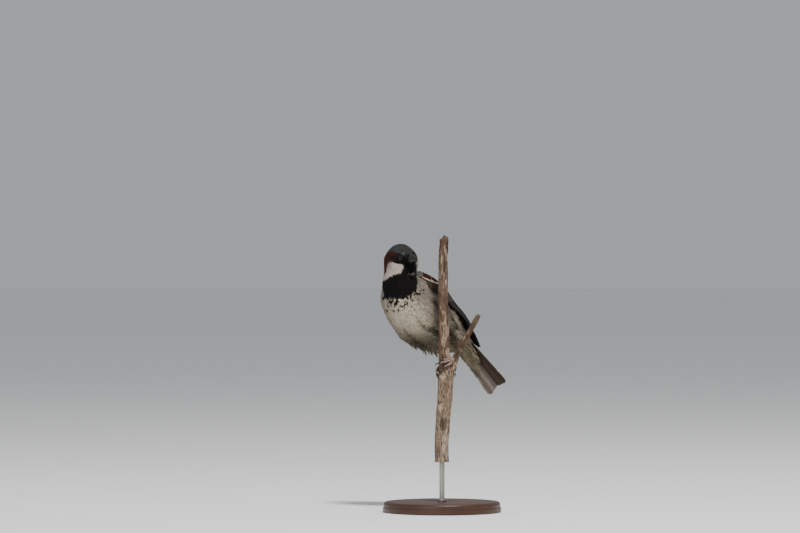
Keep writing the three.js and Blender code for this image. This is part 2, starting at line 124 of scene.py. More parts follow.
def speckle(x, y, wrap, seed):
    """Smooth noise from -1 to 1 on the plane, that repeats every wrap units of x: random numbers at whole places,
    with smooth steps between them."""
    table = np.random.default_rng(seed).uniform(-1, 1, (wrap, 512))
    i, j = np.floor(x).astype(int), np.floor(y).astype(int)
    fx, fy = smooth(x - i, 0, 1), smooth(y - j, 0, 1)
    row = lambda k: table[i % wrap, k % 512] * (1 - fx) + table[(i + 1) % wrap, k % 512] * fx
    return row(j) * (1 - fy) + row(j + 1) * fy


# ---------- the bird's frames and outline
def bird_frame(origin, heading, pitch, roll):
    """Rows: origin, along, left, back. Heading 0 faces -Y and 90 faces -X; pitch is upwards and roll about along."""
    h, p, r = np.radians([heading, pitch, roll])
    along = np.array([-np.sin(h) * np.cos(p), -np.cos(h) * np.cos(p), np.sin(p)])
    level = np.array([np.cos(h), -np.sin(h), 0.0])
    left = level * np.cos(r) + np.cross(along, level) * np.sin(r)
    return np.array([origin, along, left, np.cross(along, left)])


def at(f, xyz):
    """Places given as (along, left, back) in a frame, in the part's frame."""
    return f[0] + np.asarray(xyz, float) @ f[1:]


def inside(f, p):
    """Places of the part's frame as (along, left, back) in a bird frame."""
    return (p - f[0]) @ f[1:].T


TAIL = bird_frame((9.1, 35, 137.2), 90, 51.5, 67)
RUMP = bird_frame((5.0, 32, 135.0), 84, 40, 58)
TRUNK = bird_frame((-15.6, 28, 150.4), 76, 47, 50)
CHEST = bird_frame((-26.8, 24.5, 169.5), 50, 68, 27)
NECK = bird_frame((-31.2, 22, 181.5), 2, 85, 0)
HEAD = bird_frame((-30.2, 20.5, 193.2), -32, 0, 6)
STACK = np.array([HEAD[0], HEAD[3], HEAD[2], -HEAD[1]])  # the head's level sections, from the neck up

# Sections: frame, place along, left and back of it, half width, back radius, breast radius.
STATIONS = (
    (TAIL, -32, 0, -1.2, 2.4, 1.2, 1.4),
    (TAIL, -24, 0, -0.8, 4.0, 2.2, 3.0),
    (TAIL, -15, -0.8, -0.2, 7.4, 4.2, 6.6),
    (RUMP, -7, -0.9, 0, 12.9, 8.2, 13.2),
    (RUMP, 5, -1.0, 0, 19.2, 12.4, 19.2),
    (TRUNK, -7, -0.8, 0, 23.0, 16.4, 23.4),
    (TRUNK, 4, 0, 0, 23.6, 17.6, 23.8),
    (CHEST, -5, 0, 0, 22.0, 17.0, 21.6),
    (CHEST, 4, 0, 0, 18.6, 15.4, 17.6),
    (NECK, -0.5, -0.2, 0, 12.7, 13.6, 12.6),
    (STACK, -5.4, -0.7, 1.0, 12.9, 14.2, 11.0),
    (STACK, -0.6, -0.5, 0.9, 12.6, 14.1, 10.6),
    (STACK, 4.2, -0.5, 0.8, 11.8, 13.4, 10.2),
    (STACK, 10.8, -0.5, 0.8, 10.9, 12.4, 9.6),
)
CENTRES = np.array([at(f, place) for f, *place, _, _, _ in STATIONS])
LEFTS = np.array([row[0][2] for row in STATIONS])
BACKS = np.array([row[0][3] for row in STATIONS])
RADII = np.array([row[4:] for row in STATIONS], float)
TAIL_DOME, CROWN_DOME = 0.06, 0.86  # where the two round ends start
# Swellings of the head: forward, left and up of the middle, reach, height outwards.
RELIEF = ((1.0, 9.5, -4.5, 5.5, 0.9), (6.6, 6.6, 5.2, 3.0, 0.5), (10.0, 4.0, 5.0, 4.5, -0.9))
THIGHS = (((8.0, 24.5, 139), (15.5, 12.5, 130)), ((-5, 25, 137.5), (3.4, 16.2, 126.4)))  # shank and heel
BILL_ROOT_ALONG = 9.5
BILL_ROOT = at(HEAD, (BILL_ROOT_ALONG, 0, -1.0))
EYE_RADIUS = 2.9
EYE_OPEN = 2.05  # radius of the opening between the lids
EYE_AXIS = unit(np.array([0.60, 0.78, 0.06]))  # outward, in the head's frame, for the left eye
EYE_PLACE = np.array([6.1, 5.1, 0.35])  # middle of the left eyeball; both are shifted right with the skull
EYE_SHIFT = np.array([0, -0.3, 0])
LID_PLACE = (6.8, 6.2, 0.4)  # middle of the left eye's opening, before the shift


def eye_frame(side):
    """An eye in the head's frame: the middle of its ball, and the directions out of it, across and up."""
    axis = EYE_AXIS * (1, side, 1)
    wide = unit(np.cross(axis, (0, 0, 1.0)))
    return EYE_PLACE * (1, side, 1) + EYE_SHIFT, axis, wide, np.cross(wide, axis)


def body(t, turn, depth=0.0):
    """A place on the body: two half ellipses across a curved middle line, less depth, with round ends and the head's
    swellings pushed outwards. t runs from the tail root to the crown; turn runs round from the left over the back."""
    angle = 2 * np.pi * turn
    centre = spline(CENTRES, t)
    left = unit(spline(LEFTS, t))
    back = spline(BACKS, t)
    back = unit(back - left * np.sum(back * left, -1, keepdims=True))
    radii = spline(RADII, t)
    near = np.maximum((TAIL_DOME - t) / TAIL_DOME, (t - CROWN_DOME) / (1 - CROWN_DOME))
    share = np.sqrt(np.maximum(0, 1 - np.maximum(near, 0) ** 2))
    wide = radii[..., 0] * share
    deep = np.where(np.sin(angle) > 0, radii[..., 1], radii[..., 2]) * share
    across = np.cos(angle) * np.maximum(wide - depth, 0.3 * wide)
    high = np.sin(angle) * np.maximum(deep - depth, 0.3 * deep)
    out = combine(left, across, back, high)
    p = centre + out
    q = inside(HEAD, p)
    rise = np.zeros(p.shape[:-1])
    for x, y, z, reach, height in RELIEF:
        for side in (-1, 1):
            rise = rise + height * np.exp(-np.sum((q - (x, side * y, z)) ** 2, -1) / reach**2)
    return p + unit(out) * rise[..., None]


# The coat along the body: place t, feather length, half width, and depth of the coat over the skin.
COAT = np.array(
    (
        (0.00, 10.0, 1.5, 0.8),
        (0.12, 12.0, 1.75, 1.7),
        (0.30, 11.5, 1.95, 2.8),
        (0.50, 10.5, 1.9, 2.8),
        (0.62, 8.6, 1.55, 2.2),
        (0.70, 6.6, 1.25, 1.7),
        (0.78, 4.4, 0.95, 1.3),
        (0.90, 3.7, 0.80, 1.1),
        (1.00, 3.6, 0.80, 1.0),
    )
)


def coat(t, p):
    """Feather length, half width and coat depth at a place: read from the table, and less towards bill and eye."""
    face = 0.42 + 0.58 * smooth(np.linalg.norm(p - BILL_ROOT, axis=-1), 2.5, 11)
    q = inside(HEAD, p)
    x, y, z = LID_PLACE
    eye = np.hypot(q[..., 0] - x, np.abs(q[..., 1] - EYE_SHIFT[1]) - y) + np.abs(q[..., 2] - z)
    face = face * (0.7 + 0.3 * smooth(eye, 3, 7))
    return [np.interp(t, COAT[:, 0], COAT[:, k]) * (face if k < 3 else np.sqrt(face)) for k in (1, 2, 3)]


# ---------- markings
# Bounds of the face markings. On the head az is the angle round from the bill in degrees, and z the height.
CHEEK_TOP = ((0, 27, 34, 50, 66, 78, 90, 130), (-7.6, -5.2, -4.2, -3.4, -2.4, -2.2, -4.0, -9.0))
CHEEK_LOW = ((0, 27, 38, 52, 66, 80, 96, 112, 130), (-8.5, -9.2, -10.0, -10.4, -11.2, -12.0, -13.6, -14.8, -15.6))
CHEEK_FRONT = ((-14, -12, -9, -6.6, -5.0, -3.4), (40, 36, 36, 29, 27, 38))
CHEEK_BACK = (
    (-16, -12.5, -10.8, -9, -7.9, -4.9, -2.7, -1, 1.2, 2.6, 4),
    (132, 128, 116, 101, 96, 90, 81, 73, 64, 50, 45),
)
CAP_EDGE = ((0, 14, 21, 35, 50, 65, 91, 113, 140, 180), (3.4, 3.2, 2.6, 3.0, 4.4, 5.5, 6.4, 5.6, -1.0, -7.0))
# Painted shade: dark bands where shadow falls on the trunk, below the lower edge of the flank feathers and of the
# wing, under the bend of the wing and beside the stem, on both sides of the trunk: from and to (along, degrees round
# it from the breast), half width in millimetres, and strength.
PAINTED_SHADOWS = (
    ((8, 19), (-3, 16.5), 1.2, 0.7),
    ((-3, 17), (-18, 29.5), 1.6, 1.0),
    ((-8, 75), (-23, 71), 2.3, 1.0),
    ((-21, 50), (-38, 32), 4.0, 0.9),
    ((11, 68), (0, 63), 2.3, 0.9),
    ((-3, 108), (-26, 97), 1.5, 0.9),
)
DEGREE = 0.38  # millimetres to a degree round the trunk


def zone(low, high, soft, x):
    """1 for x between low and high, with soft edges."""
    return smooth(x, low - soft, low + soft) * (1 - smooth(x, high - soft, high + soft))


def blob(x, wide, y, tall):
    """A round spot: 1 at its middle, and falling off with the distances x and y from there."""
    return np.exp(-((x / wide) ** 2 + (y / tall) ** 2))


def both(*parts):
    """The product of several weights."""
    return np.prod(np.broadcast_arrays(*parts), axis=0)


def from_line(p, start, end):
    """How far each place is from a straight piece of line, and the share of its length beside that place."""
    start, end = np.array(start, float), np.array(end, float)
    share = np.clip((p - start) @ (end - start) / np.sum((end - start) ** 2), 0, 1)
    return np.linalg.norm(p - start - share[:, None] * (end - start), axis=1), share


def plumage(p, paint, rough=0.0, seed=0):
    """Colours of the coat at each place: the middle and the rim of the feather there.

    The cap, eye stripe, cheek and bib are bounded on the head by angle and height; the bib's lower edge and the
    underparts by the angle round the chest and trunk from the breast. Bounds are in millimetres along, up or back of
    a frame, and in degrees round it. rough moves each place by a random amount first, which makes the borders ragged.
    """
    rng = np.random.default_rng(seed)
    p = p + rng.normal(0, 1, p.shape) * rough
    chance = rng.uniform(0, 1, len(p))
    q, c, b, v = (inside(f, p) for f in (HEAD, CHEST, TRUNK, TAIL))
    z, side, along = q[:, 2], np.abs(q[:, 1]), b[:, 0]
    az = np.degrees(np.arctan2(side, q[:, 0]))
    round_chest = np.degrees(np.arctan2(np.abs(c[:, 1]), -c[:, 2]))
    round_trunk = np.degrees(np.arctan2(np.abs(b[:, 1]), -b[:, 2]))
    table = lambda rows, x: np.interp(x, *rows)

    core = np.tile(paint["breast"], (len(p), 1))
    rim = np.tile(paint["breast_rim"], (len(p), 1))

    def lay(weight, middle, edge=None):
        """Turns places by a weight to a named paint, and their rims to its own rim or to a given paint."""
        core[:] = blend(core, paint[middle], weight)
        rim[:] = blend(rim, paint[edge or f"{middle}_rim"], weight)

    lay(smooth(round_trunk, 12, 58), "flank")
    # Painted shade and the belly's own dull cream: the belly is painted darker than its real pale colour, for the
    # shade under the body.
    lay(both(1 - smooth(along, -18, 6), 1 - smooth(round_trunk, 50, 85)), "belly")
    # Painted shade: the lower front of the trunk, mostly on the bird's right side, which faces down, turns a dark
    # olive grey.
    low = both(smooth(-b[:, 1], -5, 11), 1 - smooth(along, -8, 14), 1 - smooth(round_trunk, 60, 90))
    lay(0.9 * low, "belly_low")
    lay(both(1 - smooth(v[:, 0], -6, 10), zone(-30, 1.5, 1.5, v[:, 2])), "vent")
    # Painted shade: each band turns the feathers near its line towards the dark brown of the shade paint, fading in
    # along it.
    unrolled = np.stack([along, round_trunk * DEGREE], -1)
    for start, end, wide, strength in PAINTED_SHADOWS:
        off, share = from_line(unrolled, np.multiply(start, (1, DEGREE)), np.multiply(end, (1, DEGREE)))
        lay(strength * np.exp(-((off / wide) ** 2)) * smooth(share, -0.3, 0.6), "fold", "fold")
    lay(0.8 * both(zone(-20, -7, 3, along), zone(81, 96, 3, round_trunk)), "breast")
    # Upperparts: streaked mantle, then the plain grey rump.
    above = smooth(np.maximum(round_trunk, np.where(c[:, 0] > 4, round_chest, 0)), 96, 112)
    lay(above, "mantle")
    streak = smooth(np.sin(b[:, 1] * 2 * np.pi / 6.4 + 0.9 * np.sin(along / 3)), -0.1, 0.5)
    lay(both(above, streak, zone(-14, 40, 3, along)), "streak", "mantle_rim")
    lay(both(smooth(v[:, 2], -1.0, 2.5), 1 - smooth(along, -16, -9)), "rump")
    # Hind neck.
    lay(both(smooth(z, -23, -15), smooth(az, 100, 118), 1 - 0.45 * streak), "nape")
    # Bib and throat: a straight lower edge that rises at the sides, with dark flecks below it.
    bib_edge = 0.4 + 9.4 * smooth(round_chest, 24, 80)
    below = c[:, 0] - bib_edge
    front = 1 - smooth(round_chest, 96, 106)
    lay(both(front, smooth(below, -0.6, 0.6), 1 - smooth(az, 124, 132)), "bib")
    breast_side = both(smooth(round_chest, 58, 78), 1 - smooth(c[:, 0], 8.5, 11), q[:, 1] > 0)
    lay(both(smooth(z, -19, -16), 1 - smooth(az, 118, 126), 1 - breast_side), "bib")
    lay(0.6 * both(breast_side, smooth(round_chest, 84, 96), smooth(z, -20, -16)), "side")
    often = np.interp(below, (-11, -8, -2.5, 0), (0, 0.16, 0.42, 0.7)) * (1 - smooth(round_chest, 44, 70))
    lay(both(chance < often, below < 0), "bib")
    # Cap, chestnut and the dark line through the eye.
    back = table(CHEEK_BACK, z)
    front = table(CHEEK_FRONT, z) + 12 * (q[:, 1] > 0)
    lay(both(smooth(z, -13.5, -11), smooth(az, back - 2, back + 2)), "chestnut")
    lay(both(smooth(z, -6.5, -3.5), 1 - smooth(az, back - 2, back + 2)), "lores", "lores")
    lay(both(zone(-1.2, 3.0, 0.6, z), zone(50, 84, 3, az)), "eye_stripe", "eye_stripe")
    face = both(zone(table(CHEEK_LOW, az), table(CHEEK_TOP, az), 0.3, z), zone(front, back, 1.5, az))
    lay(face, "cheek")
    lay(0.8 * blob(az - 79, 10, z + 4.4, 2.4), "ear", "ear")
    # Painted shade: the front of the cheek on the head's left side, which is turned away, takes the ear's grey.
    lay(0.8 * both(face, q[:, 1] > 0, 1 - smooth(az, 56, 72)), "ear", "ear")
    cap_edge = table(CAP_EDGE, az)
    lay(smooth(z - cap_edge, -0.35, 0.35), "crown")
    lay(both(smooth(z - cap_edge, 0, 1), 1 - smooth(az, 20, 60)), "forehead", "crown_rim")
    # Small pale marks: before the eye, and a crease where the throat folds over the bib.
    lay(0.35 * blob(az - 22, 9, z - 3.1, 1.1) * (q[:, 1] < 0), "loral_spot", "loral_spot")
    crease = blob(q[:, 1] - 2.4, 1.5, z + 12.0, 0.55) + 0.6 * blob(q[:, 1] + 0.2, 2.0, z + 12.4, 0.35)
    lay(np.clip(crease * (q[:, 0] > 0), 0, 0.7), "loral_spot", "loral_spot")
    return core, rim


# ---------- meshes
def tubes(grid, ends=None):
    """Closes tubes given as (tube, ring, side, xyz), sides running round the way of a right-hand screw: two triangles
    to each cell, and a fan at each end about the ring's mean or a given point. Gives places and triangles."""
    count, rings, sides = grid.shape[:3]
    if ends is None:
        ends = grid[:, [0, -1]].mean(2)
    places = np.concatenate([grid.reshape(count, -1, 3), ends], 1)
    i, j = pairs(np.arange(rings - 1), np.arange(sides))
    a, b = i * sides + j, i * sides + (j + 1) % sides
    j = np.arange(sides)
    k = (j + 1) % sides
    last, tip = (rings - 1) * sides, rings * sides
    rows = [(a, b, b + sides), (a, b + sides, a + sides), (j * 0 + tip, k, j), (j * 0 + tip + 1, last + j, last + k)]
    faces = np.concatenate([np.stack(row, -1) for row in rows])
    faces = faces[None] + (np.arange(count) * places.shape[1])[:, None, None]
    return places.reshape(-1, 3), faces.reshape(-1, 3)


def tube(grid):
    """One closed tube of rings, as a shape with no corner data."""
    return *tubes(grid[None]), {}


def gather(parts):
    """Joins several (places, triangles, dict of corner data) into one."""
    start = np.cumsum([0] + [len(p[0]) for p in parts])
    places = np.concatenate([p[0] for p in parts])
    faces = np.concatenate([p[1] + s for p, s in zip(parts, start)])
    data = {key: np.concatenate([p[2][key] for p in parts]) for key in parts[0][2]}
    return places, faces, data


NORMAL_LEAN = 0.78  # how far a feather's shading turns to the direction out of the body


def fill(rows, key, values):
    """Sets one property of all a mesh's vertices, corners or colours from an array."""
    rows.foreach_set(key, np.asarray(values, np.float32).ravel())


def placed(name, data):
    """A new object in the scene."""
    made = bpy.data.objects.new(name, data)
    bpy.context.scene.collection.objects.link(made)
    return made


def make_piece(name, shape, material, slot, *nodes):
    """Puts a shape's places, triangles and data into a smooth mesh. Two-column data are UV maps, three-column data
    the directions that shading leans to, and the rest are colours. The piece stands for the named nodes."""
    places, faces, data = shape
    mesh = bpy.data.meshes.new(name)
    mesh.vertices.add(len(places))
    fill(mesh.vertices, "co", places * MM)
    mesh.loops.add(faces.size)
    mesh.loops.foreach_set("vertex_index", faces.astype(np.int32).ravel())
    mesh.polygons.add(len(faces))
    mesh.polygons.foreach_set("loop_start", np.arange(0, faces.size, faces.shape[1], dtype=np.int32))
    mesh.update(calc_edges=True)
    mesh.polygons.foreach_set("use_smooth", np.ones(len(faces), bool))
    for key, values in data.items():
        if values.shape[1] == 3:
            lean_normals(mesh, values)
        elif values.shape[1] == 2:
            fill(mesh.uv_layers.new(name=key).data, "uv", values[faces.ravel()])
        else:
            fill(mesh.attributes.new(key, "FLOAT_COLOR", "POINT").data, "color", values)
    mesh.materials.append(material)
    return settle_piece(placed(name, mesh), slot, *nodes)


def read(rows, key):
    """One three-part property of all a mesh's vertices, as an array."""
    flat = np.empty(len(rows) * 3, np.float32)
    rows.foreach_get(key, flat)
    return flat.reshape(-1, 3)


def lean_normals(mesh, out):
    """Turns the shading normals of outward faces towards given directions, as barbs blend a coat's light."""
    own = read(mesh.vertices, "normal")
    share = NORMAL_LEAN * smooth(np.sum(own * out, 1), -0.45, 0.15)[:, None]
    mesh.normals_split_custom_set_from_vertices(unit(own * (1 - share) + out * share))


def settle_piece(piece, slot, *nodes):
    """Puts a finished piece on the root body and hides the nodes that it stands for. slot, its finish, is not used."""
    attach(piece, "root")
    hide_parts(*nodes)
    return piece


# ---------- materials
def output(source):
    """The socket that a link reads: a given one, a colour Mix's result, a place in the object's own coordinates, or
    another node's first output."""
    if isinstance(source, bpy.types.NodeSocket):
        return source
    return source.outputs[{"ShaderNodeMix": 2, "ShaderNodeTexCoord": 3}.get(source.bl_idname, 0)]


# Settings of a Mix of two colours, and of one that multiplies them.
TINT = {"data_type": "RGBA"}
TIMES = {"data_type": "RGBA", "blend_type": "MULTIPLY", 0: 1.0}


def add(tree, kind, settings=(), links=()):
    """Adds a shader node: settings name its properties and inputs, links give inputs the nodes that they read.

    Inputs with like names go by number: a colour Mix takes its share at 0 and its two colours at 6 and 7, and Map
    Range its value at 0, the range read at 1 and 2, and the range given at 3 and 4.
    """
    made = tree.nodes.new("ShaderNode" + kind)
    for key, value in dict(settings).items():
        if isinstance(key, int) or key in made.inputs:
            made.inputs[key].default_value = value
        else:
            setattr(made, key, value)
    for key, source in dict(links).items():
        tree.links.new(output(source), made.inputs[key])
    return made


def join(shader, **sources):
    """Links patterns to inputs of the Principled shader, named with underscores for spaces."""
    for key, source in sources.items():
        shader.id_data.links.new(output(source), shader.inputs[key.replace("_", " ")])


def new_material(name, **finish):
    """A material with its Principled shader set to a plain finish, and its node tree."""
    material = bpy.data.materials.new(name)
    material.use_nodes = True
    shader = material.node_tree.nodes["Principled BSDF"]
    for key, value in finish.items():
        shader.inputs[key.replace("_", " ").title().replace("Ior", "IOR")].default_value = value
    return material, material.node_tree, shader


def rgba(colour, level=1.0):
    """A colour, times level, with a fourth number of one."""
    return (*[c * level for c in colour[:3]], 1.0)


def feather_material(name, rim_from, rim_to, barbs, shaft=0.0, gloss=0.12):
    """Keratin vanes: matt, with a faint sheen along the barbs. The middle's colour turns to the rim's towards the
    edge, and to the tip's at the end. barbs is how many streaks of barbs show along a vane; real ones, 0.3 mm apart,
    are too fine to show. shaft darkens the quill."""
    material, tree, shader = new_material(
        name, roughness=0.8, specular_ior_level=gloss, sheen_weight=0.03, sheen_roughness=0.6
    )
    core, rim, tip = (add(tree, "Attribute", {"attribute_name": key}) for key in ("Core", "Rim", "Tip"))
    vane = add(tree, "UVMap", {"uv_map": "Vane"})
    parts = add(tree, "SeparateXYZ", links={0: vane})
    signed = add(tree, "Math", {"operation": "MULTIPLY_ADD", 1: 2.0, 2: -1.0}, {0: parts})
    across = add(tree, "Math", {"operation": "ABSOLUTE"}, {0: signed})
    slope = add(tree, "Math", {"operation": "MULTIPLY_ADD", 1: -0.22}, {0: across, 2: parts.outputs[1]})
    rows = add(tree, "Math", {"operation": "MULTIPLY", 1: float(barbs)}, {0: slope})
    place = add(tree, "CombineXYZ", links={0: signed, 1: rows})
    streaks = add(tree, "TexNoise", {"Scale": 1.0, "Detail": 3.0, "Roughness": 0.6}, {"Vector": place})
    wander = add(tree, "Math", {"operation": "MULTIPLY_ADD", 1: 0.45}, {0: streaks, 2: across})
    soft = {"interpolation_type": "SMOOTHSTEP"}
    edge = add(tree, "MapRange", {1: rim_from + 0.22, 2: rim_to + 0.22, **soft}, {0: wander})
    end = add(tree, "MapRange", {1: 0.70, 2: 0.80, **soft}, {0: parts.outputs[1]})
    there = add(tree, "Math", {"operation": "MULTIPLY"}, {0: end, 1: tip.outputs["Alpha"]})
    body_tone = add(tree, "Mix", TINT, {0: edge, 6: core, 7: rim})
    toned = add(tree, "Mix", TINT, {0: there, 6: body_tone, 7: tip})
    value = add(tree, "MapRange", {1: 0.25, 2: 0.75, 3: 0.78, 4: 1.2}, {0: streaks})
    quill = add(tree, "MapRange", {1: 0.03, 2: 0.07, 3: 1.0 - shaft, 4: 1.0}, {0: across})
    shade = add(tree, "Math", {"operation": "MULTIPLY"}, {0: value, 1: quill})
    final = add(tree, "Mix", TIMES, {6: toned, 7: shade})
    bump = add(tree, "Bump", {"Strength": 0.5, "Distance": 0.12 * MM}, {"Height": streaks})
    join(shader, Base_Color=final, Normal=bump)
    return material


def spotted_material(name, first, second, size, detail, bump=0.0, stretch=(1, 1, 1), **finish):
    """A surface of two tones in noise of a real size in millimetres, with relief of bump millimetres."""
    material, tree, shader = new_material(name, **finish)
    place = add(tree, "Mapping", {"Scale": [k / (size * MM) for k in stretch]}, {0: add(tree, "TexCoord")})
    noise = add(tree, "TexNoise", {"Scale": 1.0, "Detail": detail, "Roughness": 0.6}, {0: place})
    ramp = add(tree, "MapRange", {1: 0.35, 2: 0.65}, {0: noise})
    tone = add(tree, "Mix", {**TINT, 6: rgba(first), 7: rgba(second)}, {0: ramp})
    join(shader, Base_Color=tone)
    if bump:
        relief = add(tree, "Bump", {"Strength": 0.6, "Distance": bump * MM}, {"Height": noise})
        join(shader, Normal=relief)
    return material


# ---------- skin
SHANK_RADIUS, SHANK_TAPER = 5.4, 3.6  # radius of a feathered shank at its top, and what it loses down to the heel
SHANK_COAT = 1.0  # depth of its coat at the top


def on_shank(shank, heel, share, turn, depth=0.0):
    """Places on a shank, share of the way down to the heel and turned about it, less depth."""
    axis = np.subtract(heel, shank)
    wide = unit(np.cross(axis, (0, 0, 1.0)))
    ring = combine(wide, np.cos(turn), np.cross(unit(axis), wide), np.sin(turn))
    return shank + axis * share[..., None] + ring * (SHANK_RADIUS - SHANK_TAPER * share - depth)[..., None]


def flesh(name, share):
    """Head, neck, trunk and feathered shanks in one closed skin: the body and two tapering shanks, less a share of the
    coat's depth, fused on a grid of cubes. Gives an object in metres."""
    u, v = lattice(0.002 + 0.996 * np.linspace(0, 1, 150), np.arange(96) / 96)
    u = u - 0.5 * np.sin(2 * np.pi * u) / (2 * np.pi)
    outline = body(u, v)
    trunk = body(u, v, share * coat(u, outline)[2])
    along, turn = lattice(np.linspace(0, 0.97, 24), turns(32))
    less = share * SHANK_COAT * (1 - 0.4 * along)
    places, faces, _ = gather([tube(trunk)] + [tube(on_shank(*thigh, along, turn, less)) for thigh in THIGHS])
    mesh = bpy.data.meshes.new(name)
    mesh.from_pydata((places * MM).tolist(), [], faces.tolist())
    rough = placed(name, mesh)
    remesh = rough.modifiers.new("Fuse", "REMESH")
    remesh.mode = "VOXEL"
    remesh.voxel_size = 0.5 * MM
    relax = rough.modifiers.new("Relax", "SMOOTH")
    relax.iterations = 6
    fused = bpy.data.meshes.new_from_object(evaluated(rough))
    fused.polygons.foreach_set("use_smooth", np.ones(len(fused.polygons), bool))
    bpy.data.objects.remove(rough)
    fused.name = name
    return placed(name, fused)


def evaluated(piece):
    """An object with its modifiers worked out."""
    bpy.context.view_layer.update()
    return piece.evaluated_get(bpy.context.evaluated_depsgraph_get())


def places_of(mesh):
    """A mesh's vertices in millimetres."""
    return read(mesh.vertices, "co").astype(float) / MM


def on_outline(places, outline):
    """The nearest places on the outline and the directions out of it there, from Shrinkwrap at two heights."""
    found = []
    for height in (0.0, MM):
        mesh = bpy.data.meshes.new("probe")
        mesh.vertices.add(len(places))
        fill(mesh.vertices, "co", places * MM)
        probe = placed("probe", mesh)
        wrap = probe.modifiers.new("Wrap", "SHRINKWRAP")
        wrap.target = outline
        wrap.wrap_mode = "ABOVE_SURFACE"
        wrap.offset = height
        found.append(places_of(evaluated(probe).data))
        bpy.data.objects.remove(probe)
        bpy.data.meshes.remove(mesh)
    return found[0], unit(found[1] - found[0])


# ---------- coat feathers
STATION_SHARES = np.array((0, 0.25, 0.5, 0.75, 1.0))  # places along a feather where its middle line is worked out
PATCH = 0.003  # width of a feather's patch on the unwrap of the skin


def lie(p, n, t):
    """The way feathers lie: away from the bill over the head and down its back, and towards the tail on the body."""
    q = inside(HEAD, p)
    away = unit(p - BILL_ROOT) - HEAD[3] * (1.3 * smooth(-q[:, 0], -5, 7))[:, None]
    d = blend(-unit(run_along(CENTRES, t, 0.01)), unit(away), smooth(t, 0.655, 0.76))
    return unit(d - n * np.sum(d * n, -1, keepdims=True))


def path_of(lines, outs):
    """Middle lines of feathers, the directions out of the body there and the directions across."""
    return lines, outs, unit(np.cross(outs, np.gradient(lines, axis=1)))


def trace(start, t, length, lean, outline, towards=None):
    """Middle lines of feathers over the outline: from each start, step by step along the lie of the coat, turned
    aside by lean, and back to the outline. Gives places, directions out, and directions across (feather, station)."""
    p, n = on_outline(start, outline)
    lines, outs = [p], [n]
    pace = np.linalg.norm(run_along(CENTRES, t, 0.01), axis=1) / 0.02
    for step in np.diff(STATION_SHARES):
        d = lie(p, n, t) if towards is None else unit(towards - n * np.sum(towards * n, -1, keepdims=True))
        d = combine(d, np.cos(lean), np.cross(n, d), np.sin(lean))
        p, n = on_outline(p + d * (step * length)[:, None], outline)
        t = np.clip(t - step * length / pace, 0, 1)
        lines.append(p)
        outs.append(n)
    return path_of(np.stack(lines, 1), np.stack(outs, 1))


def pick(rows, s):
    """Rows given at each feather's stations, read at shares s of its length (feather, place)."""
    k = np.clip(np.searchsorted(STATION_SHARES, s, side="right") - 1, 0, len(STATION_SHARES) - 2)
    w = ((s - STATION_SHARES[k]) / (STATION_SHARES[k + 1] - STATION_SHARES[k]))[..., None]
    row = np.arange(len(rows))[:, None]
    return rows[row, k] * (1 - w) + rows[row, k + 1] * w


def on_lines(path, s, across, height):
    """Places given as (share of length, millimetres across, millimetres out) of each feather, all (feather, place)."""
    lines, outs, sides = path
    return pick(lines, s) + combine(pick(sides, s), across, pick(outs, s), height)


# Rings of a coat feather's vane: places along it, and its width there as a share of the widest.
VANE_SHARES = np.array((0.0, 0.3, 0.6, 0.82, 0.95))
VANE_WIDTHS = np.array((0.30, 0.75, 1.0, 0.82, 0.42))
VANE_SIDES = 4
VANE_BOW = 0.22  # how far a vane's shading bows to its sides
VANE_CUP = 0.10  # how far a feather falls away to its sides, as a share of the distance across
VANE_THICK = 0.07  # half thickness of a coat feather's vane
BARB_THICK = 0.05  # half thickness of a barb's spindle
BARB_WIDE = 0.13  # half width of a barb's spindle, as a share of the feather's


def vanes(path, half, height_at):
    """The vane of each coat feather: a thin lens across, cupped to its sides."""
    count = len(half)
    rings = len(VANE_SHARES)
    angle = turns(VANE_SIDES)
    s = np.broadcast_to(VANE_SHARES[None, :, None], (count, rings, VANE_SIDES)).reshape(count, -1)
    wide = (VANE_WIDTHS[:, None] * np.cos(angle)).reshape(1, -1)
    lens = VANE_THICK * np.sin(angle) - 0.02 * np.abs(np.cos(angle))
    thick = (np.sqrt(VANE_WIDTHS)[:, None] * lens).reshape(1, -1)
    cup = VANE_CUP * np.abs(wide) * half[:, None]
    grid = on_lines(path, s, wide * half[:, None], height_at(s) + thick - cup)
    grid = grid.reshape(count, rings, VANE_SIDES, 3)
    end_s = np.broadcast_to((-0.02, 1.0), (count, 2))
    ends = on_lines(path, end_s, 0 * end_s, height_at(end_s))
    places, faces = tubes(grid, ends)
    uv = np.concatenate([np.stack([0.5 + 0.5 * wide + 0 * s, s], -1), np.stack([0.5 + 0 * end_s, end_s], -1)], 1)
    all_s = np.concatenate([s, end_s], 1)
    bowed = np.concatenate([wide + 0 * s, 0 * end_s], 1)[..., None] * pick(path[2], all_s)
    outward = unit(pick(path[1], all_s) + VANE_BOW * bowed).reshape(-1, 3)
    of = np.repeat(np.arange(count), all_s.shape[1])[:, None]
    return places, faces, {"Vane": uv.reshape(-1, 2), "Of": of, "Out": outward}


